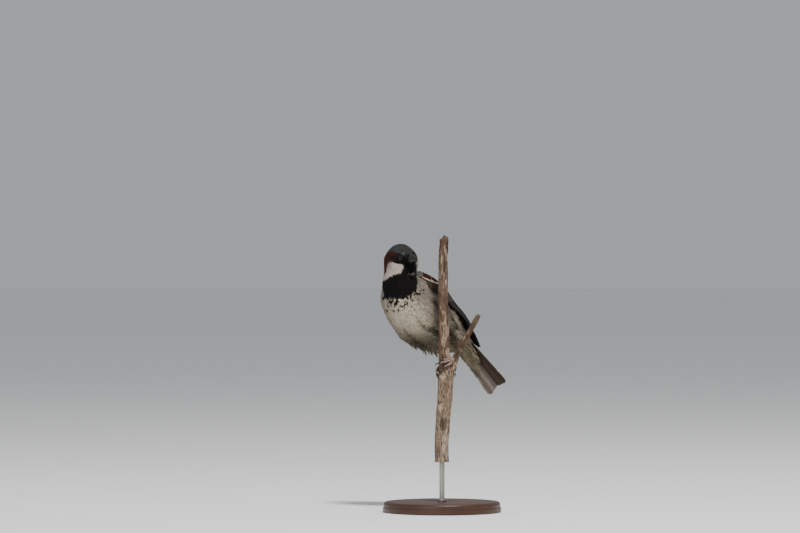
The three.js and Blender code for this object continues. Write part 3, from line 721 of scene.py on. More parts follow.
def spindles(path, half, height_at, barbs, rng):
    """The barbs of each coat feather, (feather, barb): each a root on the vane, two rings of three and a tip."""
    count = len(half)
    side = np.linspace(-1, 1, barbs)[None] + rng.normal(0, 0.08, (count, barbs))
    root_s = 0.36 + 0.28 * (1 - np.abs(side)) + rng.uniform(-0.05, 0.05, side.shape)
    tip_s = 1.08 - 0.20 * side**2 + rng.normal(0, 0.05, side.shape)
    root_a, tip_a = 0.3 * side, side * 1.02 + rng.normal(0, 0.10, side.shape)
    rise = rng.uniform(0.02, 0.26, side.shape) * np.minimum(half, 1.6)[:, None] * 0.5
    turn = turns(3) + np.pi / 2
    w = np.array([0.35, 0.72])[None, None, :, None]
    spread = np.cos(turn) * np.array([1.0, 0.7])[:, None] * BARB_WIDE
    up = np.sin(turn) * np.array([1.0, 0.8])[:, None] * BARB_THICK

    def along(root, tip, w):
        """Places w of the way from each barb's root to its tip."""
        return root[:, :, None, None] + (tip - root)[:, :, None, None] * w

    flat = lambda x: x.reshape(count, -1)
    s = flat(along(root_s, tip_s, w) + 0 * spread)
    a = flat(along(root_a, tip_a, w**1.2) + spread)
    h = flat(rise[:, :, None, None] * w + 0.10 + up)

    def laid(s, a, h):
        """Places on the cupped feathers: share of length, half widths across, and millimetres off the vane."""
        return on_lines(path, s, a * half[:, None], height_at(s) + h - VANE_CUP * np.abs(a) * half[:, None])

    end_s = flat(np.stack([root_s, tip_s], -1))
    end_a = flat(np.stack([root_a, tip_a], -1))
    end_h = flat(np.stack([0.05 + 0 * rise, 0.02 + rise * 0.8], -1))
    grid, ends = laid(s, a, h), laid(end_s, end_a, end_h)
    places, faces = tubes(grid.reshape(-1, 2, 3, 3), ends.reshape(-1, 2, 3))

    def barbwise(rings, ends):
        """Rows of the rings and ends of each barb together, in the order of its places."""
        parts = (rings.reshape(count, barbs, 6, -1), ends.reshape(count, barbs, 2, -1))
        return np.concatenate(parts, 2).reshape(count, 8 * barbs, -1)

    at_s = barbwise(s, end_s)
    uv = np.concatenate([0.5 + 0.5 * barbwise(a, end_a), at_s], -1)
    of = np.repeat(np.arange(count), 8 * barbs)[:, None]
    out = unit(pick(path[1], at_s[..., 0])).reshape(-1, 3)
    return places, faces, {"Vane": uv.reshape(-1, 2), "Of": of, "Out": out}


def coat_feathers(path, half, depth, lift, barbs, rng):
    """Coat feathers: a lens-shaped vane that rises from the skin to the outline, and slim spindles of barbs that start
    on it and fan out past its tip and sides. Gives places, triangles and the place of each on its own vane."""

    def height_at(s):
        """Height over the outline: up from the skin at the root, and lift at the tip."""
        return -depth[:, None] * np.clip(1 - s, 0, 1) ** 1.25 * 1.06 + lift[:, None] * s**3

    return gather([vanes(path, half, height_at), spindles(path, half, height_at, barbs, rng)])


def paint_vanes(shape, core, rim, tip=None, homes=None):
    """Gives all of a feather its colours of middle, rim and tip, and a coat feather its patch on the unwrap: the
    feather's own square, shrunk to PATCH, at its root's home there."""
    places, faces, data = shape
    of = data.pop("Of").ravel()
    data["Core"], data["Rim"] = core[of], rim[of]
    data["Tip"] = np.zeros((len(of), 4)) if tip is None else tip[of]
    if homes is not None:
        data["OFBake"] = np.clip(homes[of], PATCH, 1 - PATCH) + PATCH * (np.clip(data["Vane"], 0, 1) - 0.5)
    return places, faces, data


def tones_of(paint, names, count):
    """Rows of each named colour."""
    return [np.tile(paint[name], (count, 1)) for name in names]


EVEN_STEPS = (0.7548776662, 0.5698402910)  # steps of the evenest sequence of pairs of numbers


def scatter(t0, t1, v0, v1, tight, seed):
    """Feather roots over a stretch of the body, spaced by tight half widths: an even two-number sequence carried
    through the running sums of area over spacing squared, along the body and then round it."""
    fine = 120
    t = t0 + (t1 - t0) * (np.arange(fine) + 0.5) / fine
    v = v0 + (v1 - v0) * (np.arange(fine) + 0.5) / fine
    tt, vv = lattice(t, v)
    p = body(tt, vv)
    dt, dv = (t1 - t0) / fine, (v1 - v0) / fine
    along = body(tt + dt / 2, vv) - body(tt - dt / 2, vv)
    round_it = body(tt, vv + dv / 2) - body(tt, vv - dv / 2)
    area = np.linalg.norm(np.cross(along, round_it), axis=-1)
    weight = area / (tight * coat(tt, p)[1]) ** 2
    count = int(weight.sum())
    k = np.arange(count) + 0.5
    first, second = (0.5 + seed * 0.137 + k * EVEN_STEPS[0]) % 1, (0.5 + k * EVEN_STEPS[1]) % 1
    rows = np.cumsum(weight.sum(1)) / weight.sum()
    x = np.interp(first, np.concatenate([[0], rows]), np.arange(fine + 1))
    row = np.minimum(x.astype(int), fine - 1)
    sums = np.cumsum(weight, 1) / weight.sum(1, keepdims=True)
    col = (sums[row] < second[:, None]).sum(1)
    before = np.where(col > 0, sums[row, np.maximum(col - 1, 0)], 0)
    y = col + (second - before) / np.maximum(sums[row, col] - before, 1e-9)
    return t0 + (t1 - t0) * x / fine, v0 + (v1 - v0) * np.clip(y, 0, fine) / fine


def clear_of_eyes(places):
    """Bends feathers round the eyes: their distance r from an eye's axis becomes the fourth root of r^4 plus the
    fourth power of the opening's radius, on the outer side of the head."""
    q = inside(HEAD, places)
    for side in (-1, 1):
        middle, axis, _, _ = eye_frame(side)
        off = q - middle
        deep = off @ axis
        radial = off - deep[:, None] * axis
        r = np.linalg.norm(radial, axis=1)
        near = (deep > 0.2) & (r < 7)
        grown = (r**4 + (EYE_OPEN + 0.15) ** 4) ** 0.25
        q = np.where(near[:, None], q + unit(radial) * (grown - r)[:, None], q)
    return at(HEAD, q)


# ---------- folded wings
# Long edges of a folded wing, from its bend to its tip: frame, along, outwards, back, and how much further out the
# left wing's edge lies and how much further in the right wing's.
WING_LOWER = (
    (TRUNK, 22.5, 19.4, 1.4, 0, 0),
    (TRUNK, 12.5, 23.6, -3.4, 0.8, 0.6),
    (TRUNK, 1, 25.2, -5.6, 2.2, 1.6),
    (TRUNK, -10, 23.8, -5.0, 3.4, 2.2),
    (RUMP, 3, 20.0, -4.0, 2.2, 2.0),
    (RUMP, -8, 15.0, -1.2, 3.4, 1.2),
    (TAIL, -13, 10.6, 1.0, 1.6, 0),
    (TAIL, -24.3, 7.4, 3.0, 0.6, 0),
)
WING_UPPER = (
    (TRUNK, 23.5, 16.8, 11.0, 0, 0),
    (TRUNK, 13.5, 13.8, 17.2, 0, 0),
    (TRUNK, 1, 11.6, 18.8, 0, 0),
    (TRUNK, -10, 9.2, 17.6, 1.0, 0),
    (RUMP, 3, 7.4, 14.2, -0.6, 0),
    (RUMP, -8, 6.4, 10.6, 0, 0),
    (TAIL, -13, 2.0, 8.4, 0, 0),
    (TAIL, -24.3, 4.6, 5.6, 0, 0),
)
WING_BOW = 0.18  # rise of the wing's middle over its edges, as a share of its width


def wing_edge(rows, side, u):
    """A long edge of the left (1) or right (-1) wing at shares u of its length."""
    return spline([at(f, (x, side * (y + (more if side > 0 else -less)), z)) for f, x, y, z, more, less in rows], u)


def wing_at(side, u, q, lift=0.0):
    """A place on a folded wing: u from the bend to the tip, q from the lower edge to the upper one, bowed outwards by
    a parabola across, and lifted off that. Gives the place and the direction out."""

    def place(u, q, lift):
        """Places on the bowed surface, and the directions out of the flat one."""
        lower = wing_edge(WING_LOWER, side, u)
        across = wing_edge(WING_UPPER, side, u) - lower
        run = wing_edge(WING_LOWER, side, u + 0.01) - wing_edge(WING_LOWER, side, u - 0.01)
        out = unit(np.cross(across, run)) * -side
        rise = lift + WING_BOW * np.linalg.norm(across, axis=-1) * (1 - (2 * q - 1) ** 2)
        return lower + combine(across, q, out, rise), out

    u, q, lift = np.broadcast_arrays(np.asarray(u, float), np.asarray(q, float), np.asarray(lift, float))
    p, out = place(u, q, lift)
    slope = place(u, q + 0.02, lift)[0] - place(u, q - 0.02, lift)[0]
    run = place(np.minimum(u + 0.01, 1), q, lift)[0] - place(np.maximum(u - 0.01, 0), q, lift)[0]
    n = unit(np.cross(run, slope))
    return p, n * np.sign(np.sum(n * out, -1, keepdims=True))


def under_wing(p):
    """How far each place is inside a wing's outline, 0 to 1, from the nearest of a grid of places on the wings."""
    u, q = pairs(np.linspace(0, 1, 48), np.linspace(0, 1, 17))
    covered = np.zeros(len(p))
    for side in (-1, 1):
        w = wing_at(side, u, q)[0]
        for rows in np.array_split(np.arange(len(p)), 1 + len(p) // 2000):
            d2 = ((p[rows, None] - w[None]) ** 2).sum(-1)
            i = d2.argmin(1)
            deep = np.minimum(smooth(q[i], 0.04, 0.2) * smooth(1 - q[i], 0.02, 0.16), smooth(u[i], 0.0, 0.08))
            covered[rows] = np.maximum(covered[rows], deep * (d2.min(1) < 64))
    return covered


BLADE_THICK = 0.13  # half thickness of a flight feather


def blades(lines, outs, half, outer, tip, notch, sides=10):
    """Flight feathers: each a thin bowed blade along a middle line, lens-shaped across, with its leading vane outer
    times as wide as half, tapering to the quill at the root and rounded over the last share tip. Small notches part
    the barbs along the edge. lines and outs are (feather, station, xyz); half and outer are (feather,)."""
    count, stations = lines.shape[:2]
    s = np.linspace(0, 1, stations)
    ahead = unit(np.gradient(lines, axis=1))
    sides_of = unit(np.cross(outs, ahead))
    closing = np.sqrt(np.maximum(0, 1 - np.clip((s - 1 + tip) / tip, 0, 1) ** 2))
    wide = (0.4 + 0.6 * smooth(s, 0, 0.3)) * closing + 0.02
    angle = turns(sides)
    nick = 1 - notch * np.abs(speckle(np.arange(count)[:, None] * 3.7, s[None] * 22, 64, 5)) ** 3
    reach = np.where(np.cos(angle) > 0, outer[:, None], 1.0) * np.cos(angle)
    a = half[:, None, None] * (wide * nick)[:, :, None] * reach[:, None, :]
    h = BLADE_THICK * np.sin(angle)[None, None] * (0.35 + 0.65 * wide[None, :, None])
    h = h - 0.035 * a**2 / np.maximum(half[:, None, None], 1)
    grid = lines[:, :, None] + combine(sides_of[:, :, None], a, outs[:, :, None], h)
    places, faces = tubes(grid)
    uv = np.stack(np.broadcast_arrays(0.5 + 0.5 * np.cos(angle)[None, None], s[None, :, None] + 0 * a), -1)
    uv = np.concatenate([uv.reshape(count, -1, 2), np.broadcast_to(((0.5, 0.0), (0.5, 1.0)), (count, 2, 2))], 1)
    of = np.repeat(np.arange(count), stations * sides + 2)[:, None]
    return places, faces, {"Vane": uv.reshape(-1, 2), "Of": of}


# Rows of wing feathers from the innermost layer out: name, how many, root (u, q) of the first and last, tip (u, q) of
# the first and last, half widths, lifts, and the tones of middle and rim, and of the tip where it has one.
WING_ROWS = (
    ("primary", 9, (0.16, 0.46), (0.10, 0.10), (0.76, 0.62), (0.985, 0.42),
        (2.9, 2.3), (0.10, -0.75), ("quill", "quill_rim")),
    ("primary_covert", 7, (0.12, 0.36), (0.08, 0.08), (0.42, 0.30), (0.36, 0.05),
        (1.9, 1.5), (0.35, -0.1), ("quill", "quill_rim")),
    ("secondary", 6, (0.18, 0.66), (0.15, 0.36), (0.69, 0.74), (0.76, 0.46),
        (3.4, 3.1), (0.95, 0.6), ("quill", "secondary_rim")),
    ("tertial", 3, (0.24, 0.62), (0.22, 0.84), (0.70, 0.70), (0.56, 0.90),
        (3.6, 4.2), (0.85, 1.15), ("tertial", "tertial_rim")),
    ("alula", 2, (0.04, 0.16), (0.05, 0.06), (0.25, 0.12), (0.20, 0.04),
        (1.7, 1.3), (0.35, 0.15), ("quill", "quill_rim")),
    ("greater", 10, (0.01, 0.10), (0.22, 0.92), (0.24, 0.10), (0.46, 0.93),
        (2.5, 3.0), (0.75, 1.2), ("greater", "covert_rim")),
    ("median", 15, (0.0, 0.24), (0.22, 0.98), (0.045, 0.16), (0.36, 0.95),
        (2.6, 2.9), (1.1, 1.5), ("median", "median", "bar")),
)
BAR_TURN = 2.5  # power of the curve by which the white bar turns up across the wing
BLADE_STATIONS = 26  # rings to a flight feather


def wing_feathers(side, paint):
    """All the large feathers of a folded wing: each row runs between two roots and two tips on the wing's own (u, q)
    and every feather follows the bowed surface, lifted a little more than its neighbour."""
    shapes = []
    s = np.linspace(0, 1, BLADE_STATIONS)
    for name, count, root0, root1, tip0, tip1, widths, lifts, kinds in WING_ROWS:
        f = np.linspace(0, 1, count)[:, None]
        mix = lambda first, last, share=f: first + (last - first) * share
        # The median coverts' tips run along the wing at first and then turn up across it.
        rise = f**BAR_TURN if name == "median" else f
        u = mix(mix(root0[0], root1[0]), mix(tip0[0], tip1[0]), s)
        q = mix(mix(root0[1], root1[1], rise), mix(tip0[1], tip1[1], rise), s**0.8)
        fade = 1 - 0.55 * u
        lift = mix(*lifts) * fade + 0.35 * (s - 0.6) * (name in ("greater", "median"))
        lines, outs = wing_at(side, u, q, lift)
        thin = 0.6 if name == "primary" else 0.85
        half = mix(*widths).ravel() * (1.0 if side > 0 else thin)
        outer = np.full(count, thin if side > 0 else 1 / thin)
        shape = blades(lines, outs, half, outer, 0.22 if name == "primary" else 0.30, notch=0.25)
        tones = tones_of(paint, kinds, count)
        tones[0] = tones[0] * (1 + 0.12 * np.sin(5 * np.arange(count)))[:, None]
        if name in ("primary", "secondary"):
            tones[1] = blend(tones[0], tones[1], 0.2 + 0.8 * (np.arange(count) % 2 == 0))
        shapes.append(paint_vanes(shape, *tones))
    return gather(shapes)


def wing_lining(side, paint):
    """The wing's inner layer, closed and thinner than the whole: two sheets that meet at its long edges."""
    u, angle = lattice(np.linspace(0.04, 0.975, 60), turns(20))
    near = np.clip(np.maximum(1 - u / 0.16, 1 - (1 - u) / 0.16), 0, 1)
    round_off = np.sqrt(np.maximum(0.03, 1 - near**2))
    q = 0.5 + 0.47 * np.cos(angle) * round_off * side
    lift = (0.55 * np.sin(angle) - 0.75) * (1 - 0.5 * u)
    places, faces = tubes(wing_at(side, u, q, lift)[0][None])
    ends = np.array(((0.5, 0), (0.5, 1)))
    vane = np.concatenate([np.stack([0.5 + 0.5 * np.cos(angle), u], -1).reshape(-1, 2), ends])
    data = {"Vane": vane, "Of": np.zeros(len(places), int)}
    return paint_vanes((places, faces, data), *tones_of(paint, ("quill", "quill"), 1))


WING_SPAN = 77.0  # millimetres from the bend of the wing to its tip
TUFT_START = -0.08  # where the shoulder's feathers begin, before the bend


def covert_tufts(side, paint, seed):
    """Small feathers in rows over the wing's shoulder, and the larger scapulars that hang over its upper edge."""
    rng = np.random.default_rng(seed)
    rows = []  # place along the wing and across it, length, half width, lift, and 1 for a scapular
    for row in range(8):
        q = np.arange(0.02, 1.0, 0.050) + 0.025 * (row % 2)
        bar = 0.045 + 0.315 * np.clip((q - 0.16) / 0.79, 0, 1) ** (1 / BAR_TURN)
        u = TUFT_START + row / 7 * (bar - 0.025)
        rows.append(np.stack(np.broadcast_arrays(u, q, 4.4 + 0.2 * row, 1.25, 1.3, 0), -1))
    for row in range(6):
        u = np.arange(TUFT_START, 0.50, 0.042) + 0.021 * (row % 2)
        rows.append(np.stack(np.broadcast_arrays(u, 1.16 - 0.055 * row, 9.5, 2.2, 1.6 - 0.16 * row, 1), -1))
    u, q, length, half, lift, kind = np.concatenate(rows).T
    u = u + rng.normal(0, 0.006, u.shape)
    q = q + rng.normal(0, 0.010, q.shape)
    steps = STATION_SHARES[None]
    heading = rng.normal(0, 0.0015, u.shape)
    uu = u[:, None] + steps * (length / WING_SPAN)[:, None]
    qq = q[:, None] + steps * heading[:, None] * length[:, None] - 0.05 * kind[:, None] * steps
    lines, outs = wing_at(side, np.maximum(uu, 0), qq, (lift[:, None] + 0.25 * steps) * np.ones_like(uu))
    # Before the bend of the wing they run on straight ahead, and sink into the breast.
    ahead = unit(wing_at(side, 0 * qq + 0.03, qq)[0] - wing_at(side, 0 * qq, qq)[0])
    early = np.minimum(uu, 0) * WING_SPAN
    lines = lines + combine(ahead, early, outs, 0.35 * early)
    jitter = rng.uniform(0, 0.25, u.shape)
    shape = coat_feathers(path_of(lines, outs), half, 0.9 + 0 * u, jitter, 5, rng)
    is_scapular = kind[:, None] > 0.5
    dark = (np.sin(41 * q + 9 * u) > 0.35)[:, None]
    # The foremost ones belong to the breast's side, which laps over the bend of the wing.
    lapped = (u + 0.008 * np.sin(37 * q) < -0.045)[:, None]
    core = np.where(lapped, paint["side"], paint["shoulder"])
    core = np.where(is_scapular, np.where(dark, paint["streak"], paint["mantle"]), core)
    rim = np.where(lapped, paint["side_rim"], paint["shoulder_rim"])
    rim = np.where(is_scapular, paint["mantle_rim"], rim)
    core = core * rng.uniform(0.8, 1.2, (len(u), 1))
    homes = np.stack([np.clip(u, 0, 0.6) / 0.6, np.clip(q / 1.2, 0, 1)], -1)
    return paint_vanes(shape, core, rim, homes=homes)


# ---------- tail
TAIL_LENGTH = 56
TAIL_PAIRS = 6
TAIL_NOTCH = 1.5  # how much shorter the middle pair is
TAIL_SLOPE = 0.36  # fall of the tail's surface from its middle to each side
# Longest undertail coverts, undermost first: how far left the root is, the tip's along and left, and half width.
UNDERTAIL = (
    (-4.6, -27.5, -5.4, 2.3), (4.4, -25.5, 3.9, 2.3), (1.9, -31.5, 1.6, 2.4), (-3.0, -33.5, -4.0, 2.4),
    (-2.0, -38.0, -2.6, 2.5), (0.8, -29.0, 0.6, 2.3), (-1.2, -26.5, -1.8, 2.2), (3.0, -22.5, 3.0, 2.2),
)


def tail_feathers(paint):
    """Twelve tail feathers, nearly closed: the middle pair on top and shortest, each next one lower and further out,
    both sides sloping down from the middle."""
    s = np.linspace(0, 1, 34)
    pair, side = pairs(np.arange(TAIL_PAIRS), (-1, 1))
    f = (pair / (TAIL_PAIRS - 1))[:, None]
    reach = TAIL_LENGTH + 0.3 - TAIL_NOTCH * (1 - f) ** 1.2 + 0.3 * np.sin(7 * pair + 2 * side)[:, None]
    y = side[:, None] * (0.4 + 3.4 * f + (1.0 + (2.3 + 0.9 * (side[:, None] > 0)) * f) * s[None])
    z = 0.9 + (0.95 - 1.75 * f) * (1.0 - 0.42 * s[None]) - TAIL_SLOPE * np.abs(y)
    lines = at(TAIL, np.stack([2.0 - (reach + 2.0) * s[None], y, z], -1))
    outs = np.broadcast_to(unit(TAIL[3] + TAIL_SLOPE * side[:, None, None] * TAIL[2]), lines.shape)
    # The outer vane is a third narrower than the inner one, and lies towards -left on the right side.
    narrow = 0.68
    half = np.where(side > 0, 3.7 * narrow, 3.7)
    outer = np.where(side > 0, 1 / narrow, narrow)
    shape = blades(lines, outs, half, outer, 0.055, notch=0.30, sides=12)
    # Painted shade: the feathers of the tail's left half (side > 0) are darkened to under half and browned, and keep
    # little of their pale rim, for the shadow on that half. The pairs also alternate a little in tone.
    tone = (0.92 + 0.16 * (np.sin(3 * pair) > 0))[:, None] * np.where((side > 0)[:, None], (0.46, 0.41, 0.31), 1.0)
    core = paint["rectrix"] * np.concatenate([tone, 1 + 0 * tone[:, :1]], 1)
    rim = blend(core, paint["rectrix_rim"], np.where(side > 0, 0.12, 1.0))
    return paint_vanes(shape, core, rim)


def undertail_coverts(paint, seed):
    """The long loose coverts over the tail's root, each from the body's underside to a point on the tail."""
    rng = np.random.default_rng(seed)
    root_y, tip_x, tip_y, half = np.array(UNDERTAIL).T
    s = STATION_SHARES[None]
    x = -13 + (tip_x + 13)[:, None] * s
    y = root_y[:, None] + (tip_y - root_y)[:, None] * s
    z = np.interp(-x, (13, 15, 24, 32, 38), (-7.4, -6.8, -4.2, -3.0, -2.2)) - 0.12 * np.arange(len(half))[:, None]
    lines = at(TAIL, np.stack([x, y, z + 0.05 * y**2 * (1 - s)], -1))
    outs = np.broadcast_to(unit(-TAIL[3] + 0.08 * y[..., None] * -TAIL[2]), lines.shape)
    shape = coat_feathers(path_of(lines, outs), half, 0.6 + 0 * half, 0.1 + 0 * half, 13, rng)
    homes = np.stack([0.5 + root_y / 12, -tip_x / 40], -1)
    return paint_vanes(shape, *tones_of(paint, ("vent", "vent_rim"), len(half)), homes=homes)


# ---------- bill and eyes
BILL_LENGTH, BILL_DEPTH, BILL_WIDTH = 12, 7.6, 7.4


def bill_tip(upper):
    """How far along the head a half of the bill reaches; the lower half is a little shorter."""
    return 10.4 + BILL_LENGTH - (0 if upper else 1.2)


def bill_sizes(x, upper):
    """Height of the line between the halves, half width and depth of a half of the bill, at x along the head."""
    w = np.clip((x - BILL_ROOT_ALONG) / (bill_tip(upper) - BILL_ROOT_ALONG), 0, 1)
    full = (1 - w**1.5) ** 0.7 + 0.02
    wide = BILL_WIDTH / 2 * full * (1 if upper else 0.90) * (1 - 0.25 * w)
    return -1.2 - 0.3 * w**1.6, wide, (0.58 if upper else 0.42) * BILL_DEPTH * full


def bill_half(upper):
    """Half of the bill: half ellipses that shrink to the tip along a drooping line, the upper half with a keel along
    its top and a nostril's hollow on each side."""
    root = BILL_ROOT_ALONG - 0.5
    u, angle = lattice(np.linspace(0, 1, 56) ** 0.8, turns(56))
    x = root + (bill_tip(upper) - root) * u
    line, wide, deep = bill_sizes(x, upper)
    rise = np.maximum(np.sin(angle), 0) ** 0.9 * deep
    if upper:
        rise = rise * (1 + 0.05 * np.exp(-((np.cos(angle) / 0.22) ** 2)))
        rise = rise - 0.10 * (np.sin(angle) <= 0) * np.cos(angle) ** 2
        hollow = blob(x - 11.4, 0.9, np.abs(np.cos(angle)) - 0.62, 0.16) * (np.sin(angle) > 0)
        rise = rise - 0.45 * hollow
        wide = wide - 0.25 * hollow
    y = wide * np.cos(angle)
    up = 1 if upper else -1
    return tube(at(HEAD, np.stack([x, y * up, line + up * (rise + 0.06)], -1)))


BRISTLES = 52  # in each of their two rows


def bill_bristles(paint, seed):
    """Bristly feathers that lie forward over the bill's root, black at its sides and greyer on top."""
    rng = np.random.default_rng(seed)
    count = 2 * BRISTLES
    turn = np.concatenate([np.linspace(-180, 180, BRISTLES, endpoint=False) + 3 * k for k in (0, 1)])
    turn = turn + rng.normal(0, 1.5, count)
    angle = np.radians(turn)[:, None]
    long = np.repeat((4.6, 3.2), BRISTLES) * (0.75 + 0.35 * np.abs(np.cos(angle[:, 0])))
    long = long * rng.uniform(0.8, 1.15, count)
    x = 6.8 + (1.8 + long)[:, None] * STATION_SHARES[None]

    def around(grow):
        """Places along the bristles, grow millimetres off the horn."""
        (line, wide, deep), (_, wide_low, deep_low) = bill_sizes(x, True), bill_sizes(x, False)
        top = np.sin(angle) > 0
        y = (np.where(top, wide, wide_low) + grow) * np.cos(angle)
        return at(HEAD, np.stack([x, y, line + (np.where(top, deep, deep_low) + grow) * np.sin(angle)], -1))

    lines = around(0.12)
    half, depth, lift = (np.full(count, size) for size in (0.62, 1.1, 0.12))
    shape = coat_feathers(path_of(lines, unit(around(1.12) - lines)), half, depth, lift, 3, rng)
    on_top = smooth(np.sin(angle[:, 0]), 0.75, 0.95)
    black = tones_of(paint, ("lores",), count)[0]
    tones = [blend(black, paint[key], on_top) for key in ("forehead", "crown_rim")]
    homes = np.stack([0.5 + turn / 400, 0.9 + 0 * turn], -1)
    return paint_vanes(shape, *tones, homes=homes)


def eye_ball(side):
    """An eyeball: a globe turned to the eye's axis, with a slightly fuller cornea at the front."""
    middle, axis, wide, high = eye_frame(side)
    polar, turn = lattice(np.pi * (0.01 + 0.98 * np.linspace(0, 1, 48)), turns(64))
    r = EYE_RADIUS * (1 + 0.02 * np.exp(-((polar / 0.5) ** 2)))
    round_it = combine(wide, np.cos(turn), high, -np.sin(turn))
    q = combine(axis, r * np.cos(polar), round_it, r * np.sin(polar))
    places, faces = tubes(at(HEAD, q[::-1] + middle)[None])
    ends = np.array((-1.0, 1.0))
    front = np.concatenate([np.cos(polar[::-1]).ravel(), ends])
    return places, faces, {"Facing": np.stack([front] * 3 + [1 + 0 * front], -1)}


LID_RINGS, LID_SIDES = 72, 10


def eye_lids(side):
    """The bare rim of the lids: a narrow ring round the eye's opening, longer than high, lying on the ball."""
    middle, axis, wide, high = eye_frame(side)
    turn, small = lattice(turns(LID_RINGS), turns(LID_SIDES))
    open_wide, open_high = EYE_OPEN * 1.03, EYE_OPEN * 0.93
    r = 0.30 * (1 + 0.12 * np.sin(11 * turn))
    flat = combine(wide, open_wide * np.cos(turn), high, open_high * np.sin(turn))
    out = unit(flat)
    rest = np.sqrt(EYE_RADIUS**2 - np.sum(flat**2, -1))
    q = flat + combine(out, r * np.cos(small), axis, rest + r * 0.8 * np.sin(small))
    i, j = pairs(np.arange(LID_RINGS), np.arange(LID_SIDES))
    near, far = i * LID_SIDES, (i + 1) % LID_RINGS * LID_SIDES
    k = (j + 1) % LID_SIDES
    return at(HEAD, q + middle).reshape(-1, 3), np.stack([near + j, near + k, far + k, far + j], -1), {}


# ---------- perch
# Middle line and radius of the stem and of its side branch.
STEM = np.array(
    (
        (-0.2, 0, 38, 5.4), (-0.3, 0, 54, 5.5), (0.6, 0, 71, 5.5), (2.0, 0, 86, 5.6),
        (3.0, 0, 102, 5.8), (2.6, 0, 111, 5.2), (1.9, 0, 120, 4.2), (1.4, 0, 137, 3.9),
        (0.8, 0, 161, 3.75), (0.7, 0, 190, 3.75), (1.4, 0, 204, 3.4), (1.6, 0, 210.8, 3.0),
    )
)
BRANCH = np.array(
    (
        (5.6, -0.2, 104, 4.0), (7.6, -0.3, 109.5, 3.4), (9.6, -0.6, 115, 2.6),
        (12.4, -1.2, 121.6, 2.3), (19.6, -3, 135, 2.2), (28.0, -5.2, 150.2, 1.9),
    )
)
# Small patches where the bark is rubbed off: height, share of a turn, and the reach up and round.
BARE_PATCHES = ((192, 0.71, 3.2, 0.03), (181, 0.80, 2.0, 0.03), (175, 0.86, 2.6, 0.03))


def limb(rows, rings, sides, relief, splinter):
    """A woody limb: rings about a middle line, slowly uneven, with ridges of fibre that run along it, cracks between
    them, and a broken end whose splinters stand to uneven heights. Gives the shape with bark data: how far a place
    is down a crack, how pale its patch is, how red, and how near the broken end."""
    is_stem = splinter > 2
    u, v = lattice(np.linspace(0, 1, rings), np.arange(sides) / sides)
    centre = spline(rows[:, :3], u)
    tangent = unit(run_along(rows[:, :3], u, 0.002))
    wide = unit(np.array((1.0, 0, 0)) - tangent * tangent[..., :1])
    front = np.cross(tangent, wide)
    angle = 2 * np.pi * v
    radius = spline(rows[:, 3:], u)[..., 0]
    uneven = 1 + 0.035 * np.sin(3 * angle + 9 * u) + 0.03 * np.sin(2 * angle - 17 * u)
    length = np.linalg.norm(rows[-1, :3] - rows[0, :3])
    along = u * length
    twist = v + 0.03 * np.sin(along / 23)
    # Each noise has a whole number of patches round the limb, and patches of so many millimetres along it.
    fibre = speckle(twist * 26, along / 9.0, 26, 3) + 0.6 * speckle(twist * 52, along / 5.0, 52, 4)
    crack = smooth(-speckle(twist * 15, along / 14.0, 15, 8), 0.35, 0.75)
    knots = speckle(twist * 5, along / 6.0, 5, 6)
    r = radius * uneven + relief * (0.13 * fibre - 0.35 * crack + 0.20 * knots)
    jag = 0.5 + 0.5 * speckle(twist * 7, along * 0, 7, 12)
    drop = splinter * (jag * smooth(along, length - 12, length) ** 2)
    r = r * (1 - (0.45 if is_stem else 0.12) * smooth(along, length - 3, length))
    grid = centre + combine(wide, r * np.cos(angle), front, r * np.sin(angle))
    grid = grid - tangent * drop[..., None]
    places, faces = tubes(grid[None])
    bleached = speckle(twist * 6, along / 8.0, 6, 21) + 0.5 * speckle(twist * 14, along / 3.0, 14, 22)
    pale = smooth(bleached, 0.25, 0.8)
    for height, turned, tall, wide_patch in BARE_PATCHES:
        off = ((grid[..., 2] - height) / tall) ** 2 + ((v - turned) / wide_patch) ** 2
        pale = pale + 1.6 * np.exp(-(off**2)) * is_stem
    pale = pale + 0.55 * (1 - smooth(grid[..., 2], 96, 114)) - 0.3 * zone(124, 166, 4, grid[..., 2])
    pale = pale - 0.8 * smooth(grid[..., 2], 197, 202)
    red = smooth(speckle(twist * 4, along / 17.0, 4, 31), 0.0, 0.6) * is_stem
    red = red * (1 - 0.75 * smooth(grid[..., 2], 174, 184))
    worn = smooth(along, length - 9, length - 3)
    tone = np.stack([crack, pale, red, worn], -1).reshape(-1, 4)
    tone = np.concatenate([tone, tone[[0, -1]]])
    return places, faces, {"Bark": tone}


# ---------- legs and feet
# Each foot: heel, ankle, palm, and its toes: from and to angle round the stem, height at start and end, the claw's
# length and how far it turns in, as a share of that.
FEET = {
    "left": (
        (15.5, 12.5, 130), (9.0, 2.4, 117.2), (7.7, -2.2, 115.6),
        (
            (28, 72, 117, 114.6, 4.4, 0.3), (-48, -104, 116.8, 115.8, 3.6, 0.3),
            (-48, -130, 115.4, 113.4, 4.8, -0.15), (-44, -98, 113.6, 110.6, 3.6, 0.3),
        ),
    ),
    "right": (
        (3.4, 16.2, 126.4), (-0.2, 8.0, 111.0), (-1.4, 6.4, 109.6),
        (
            (100, 30, 108.6, 105.5, 4.6, 0.3), (138, 192, 109.4, 108.4, 3.6, 0.3),
            (138, 222, 108.0, 105.6, 4.2, 0.3), (134, 186, 106.4, 103.4, 3.6, 0.3),
        ),
    ),
}


def stem_at(z):
    """The stem's middle and radius at a height, read off its finely sampled line."""
    fine = spline(STEM, np.linspace(0, 1, 400))
    x, y, radius = (np.interp(z, fine[:, 2], fine[:, k]) for k in (0, 1, 3))
    return np.stack([x, y, z], -1), radius


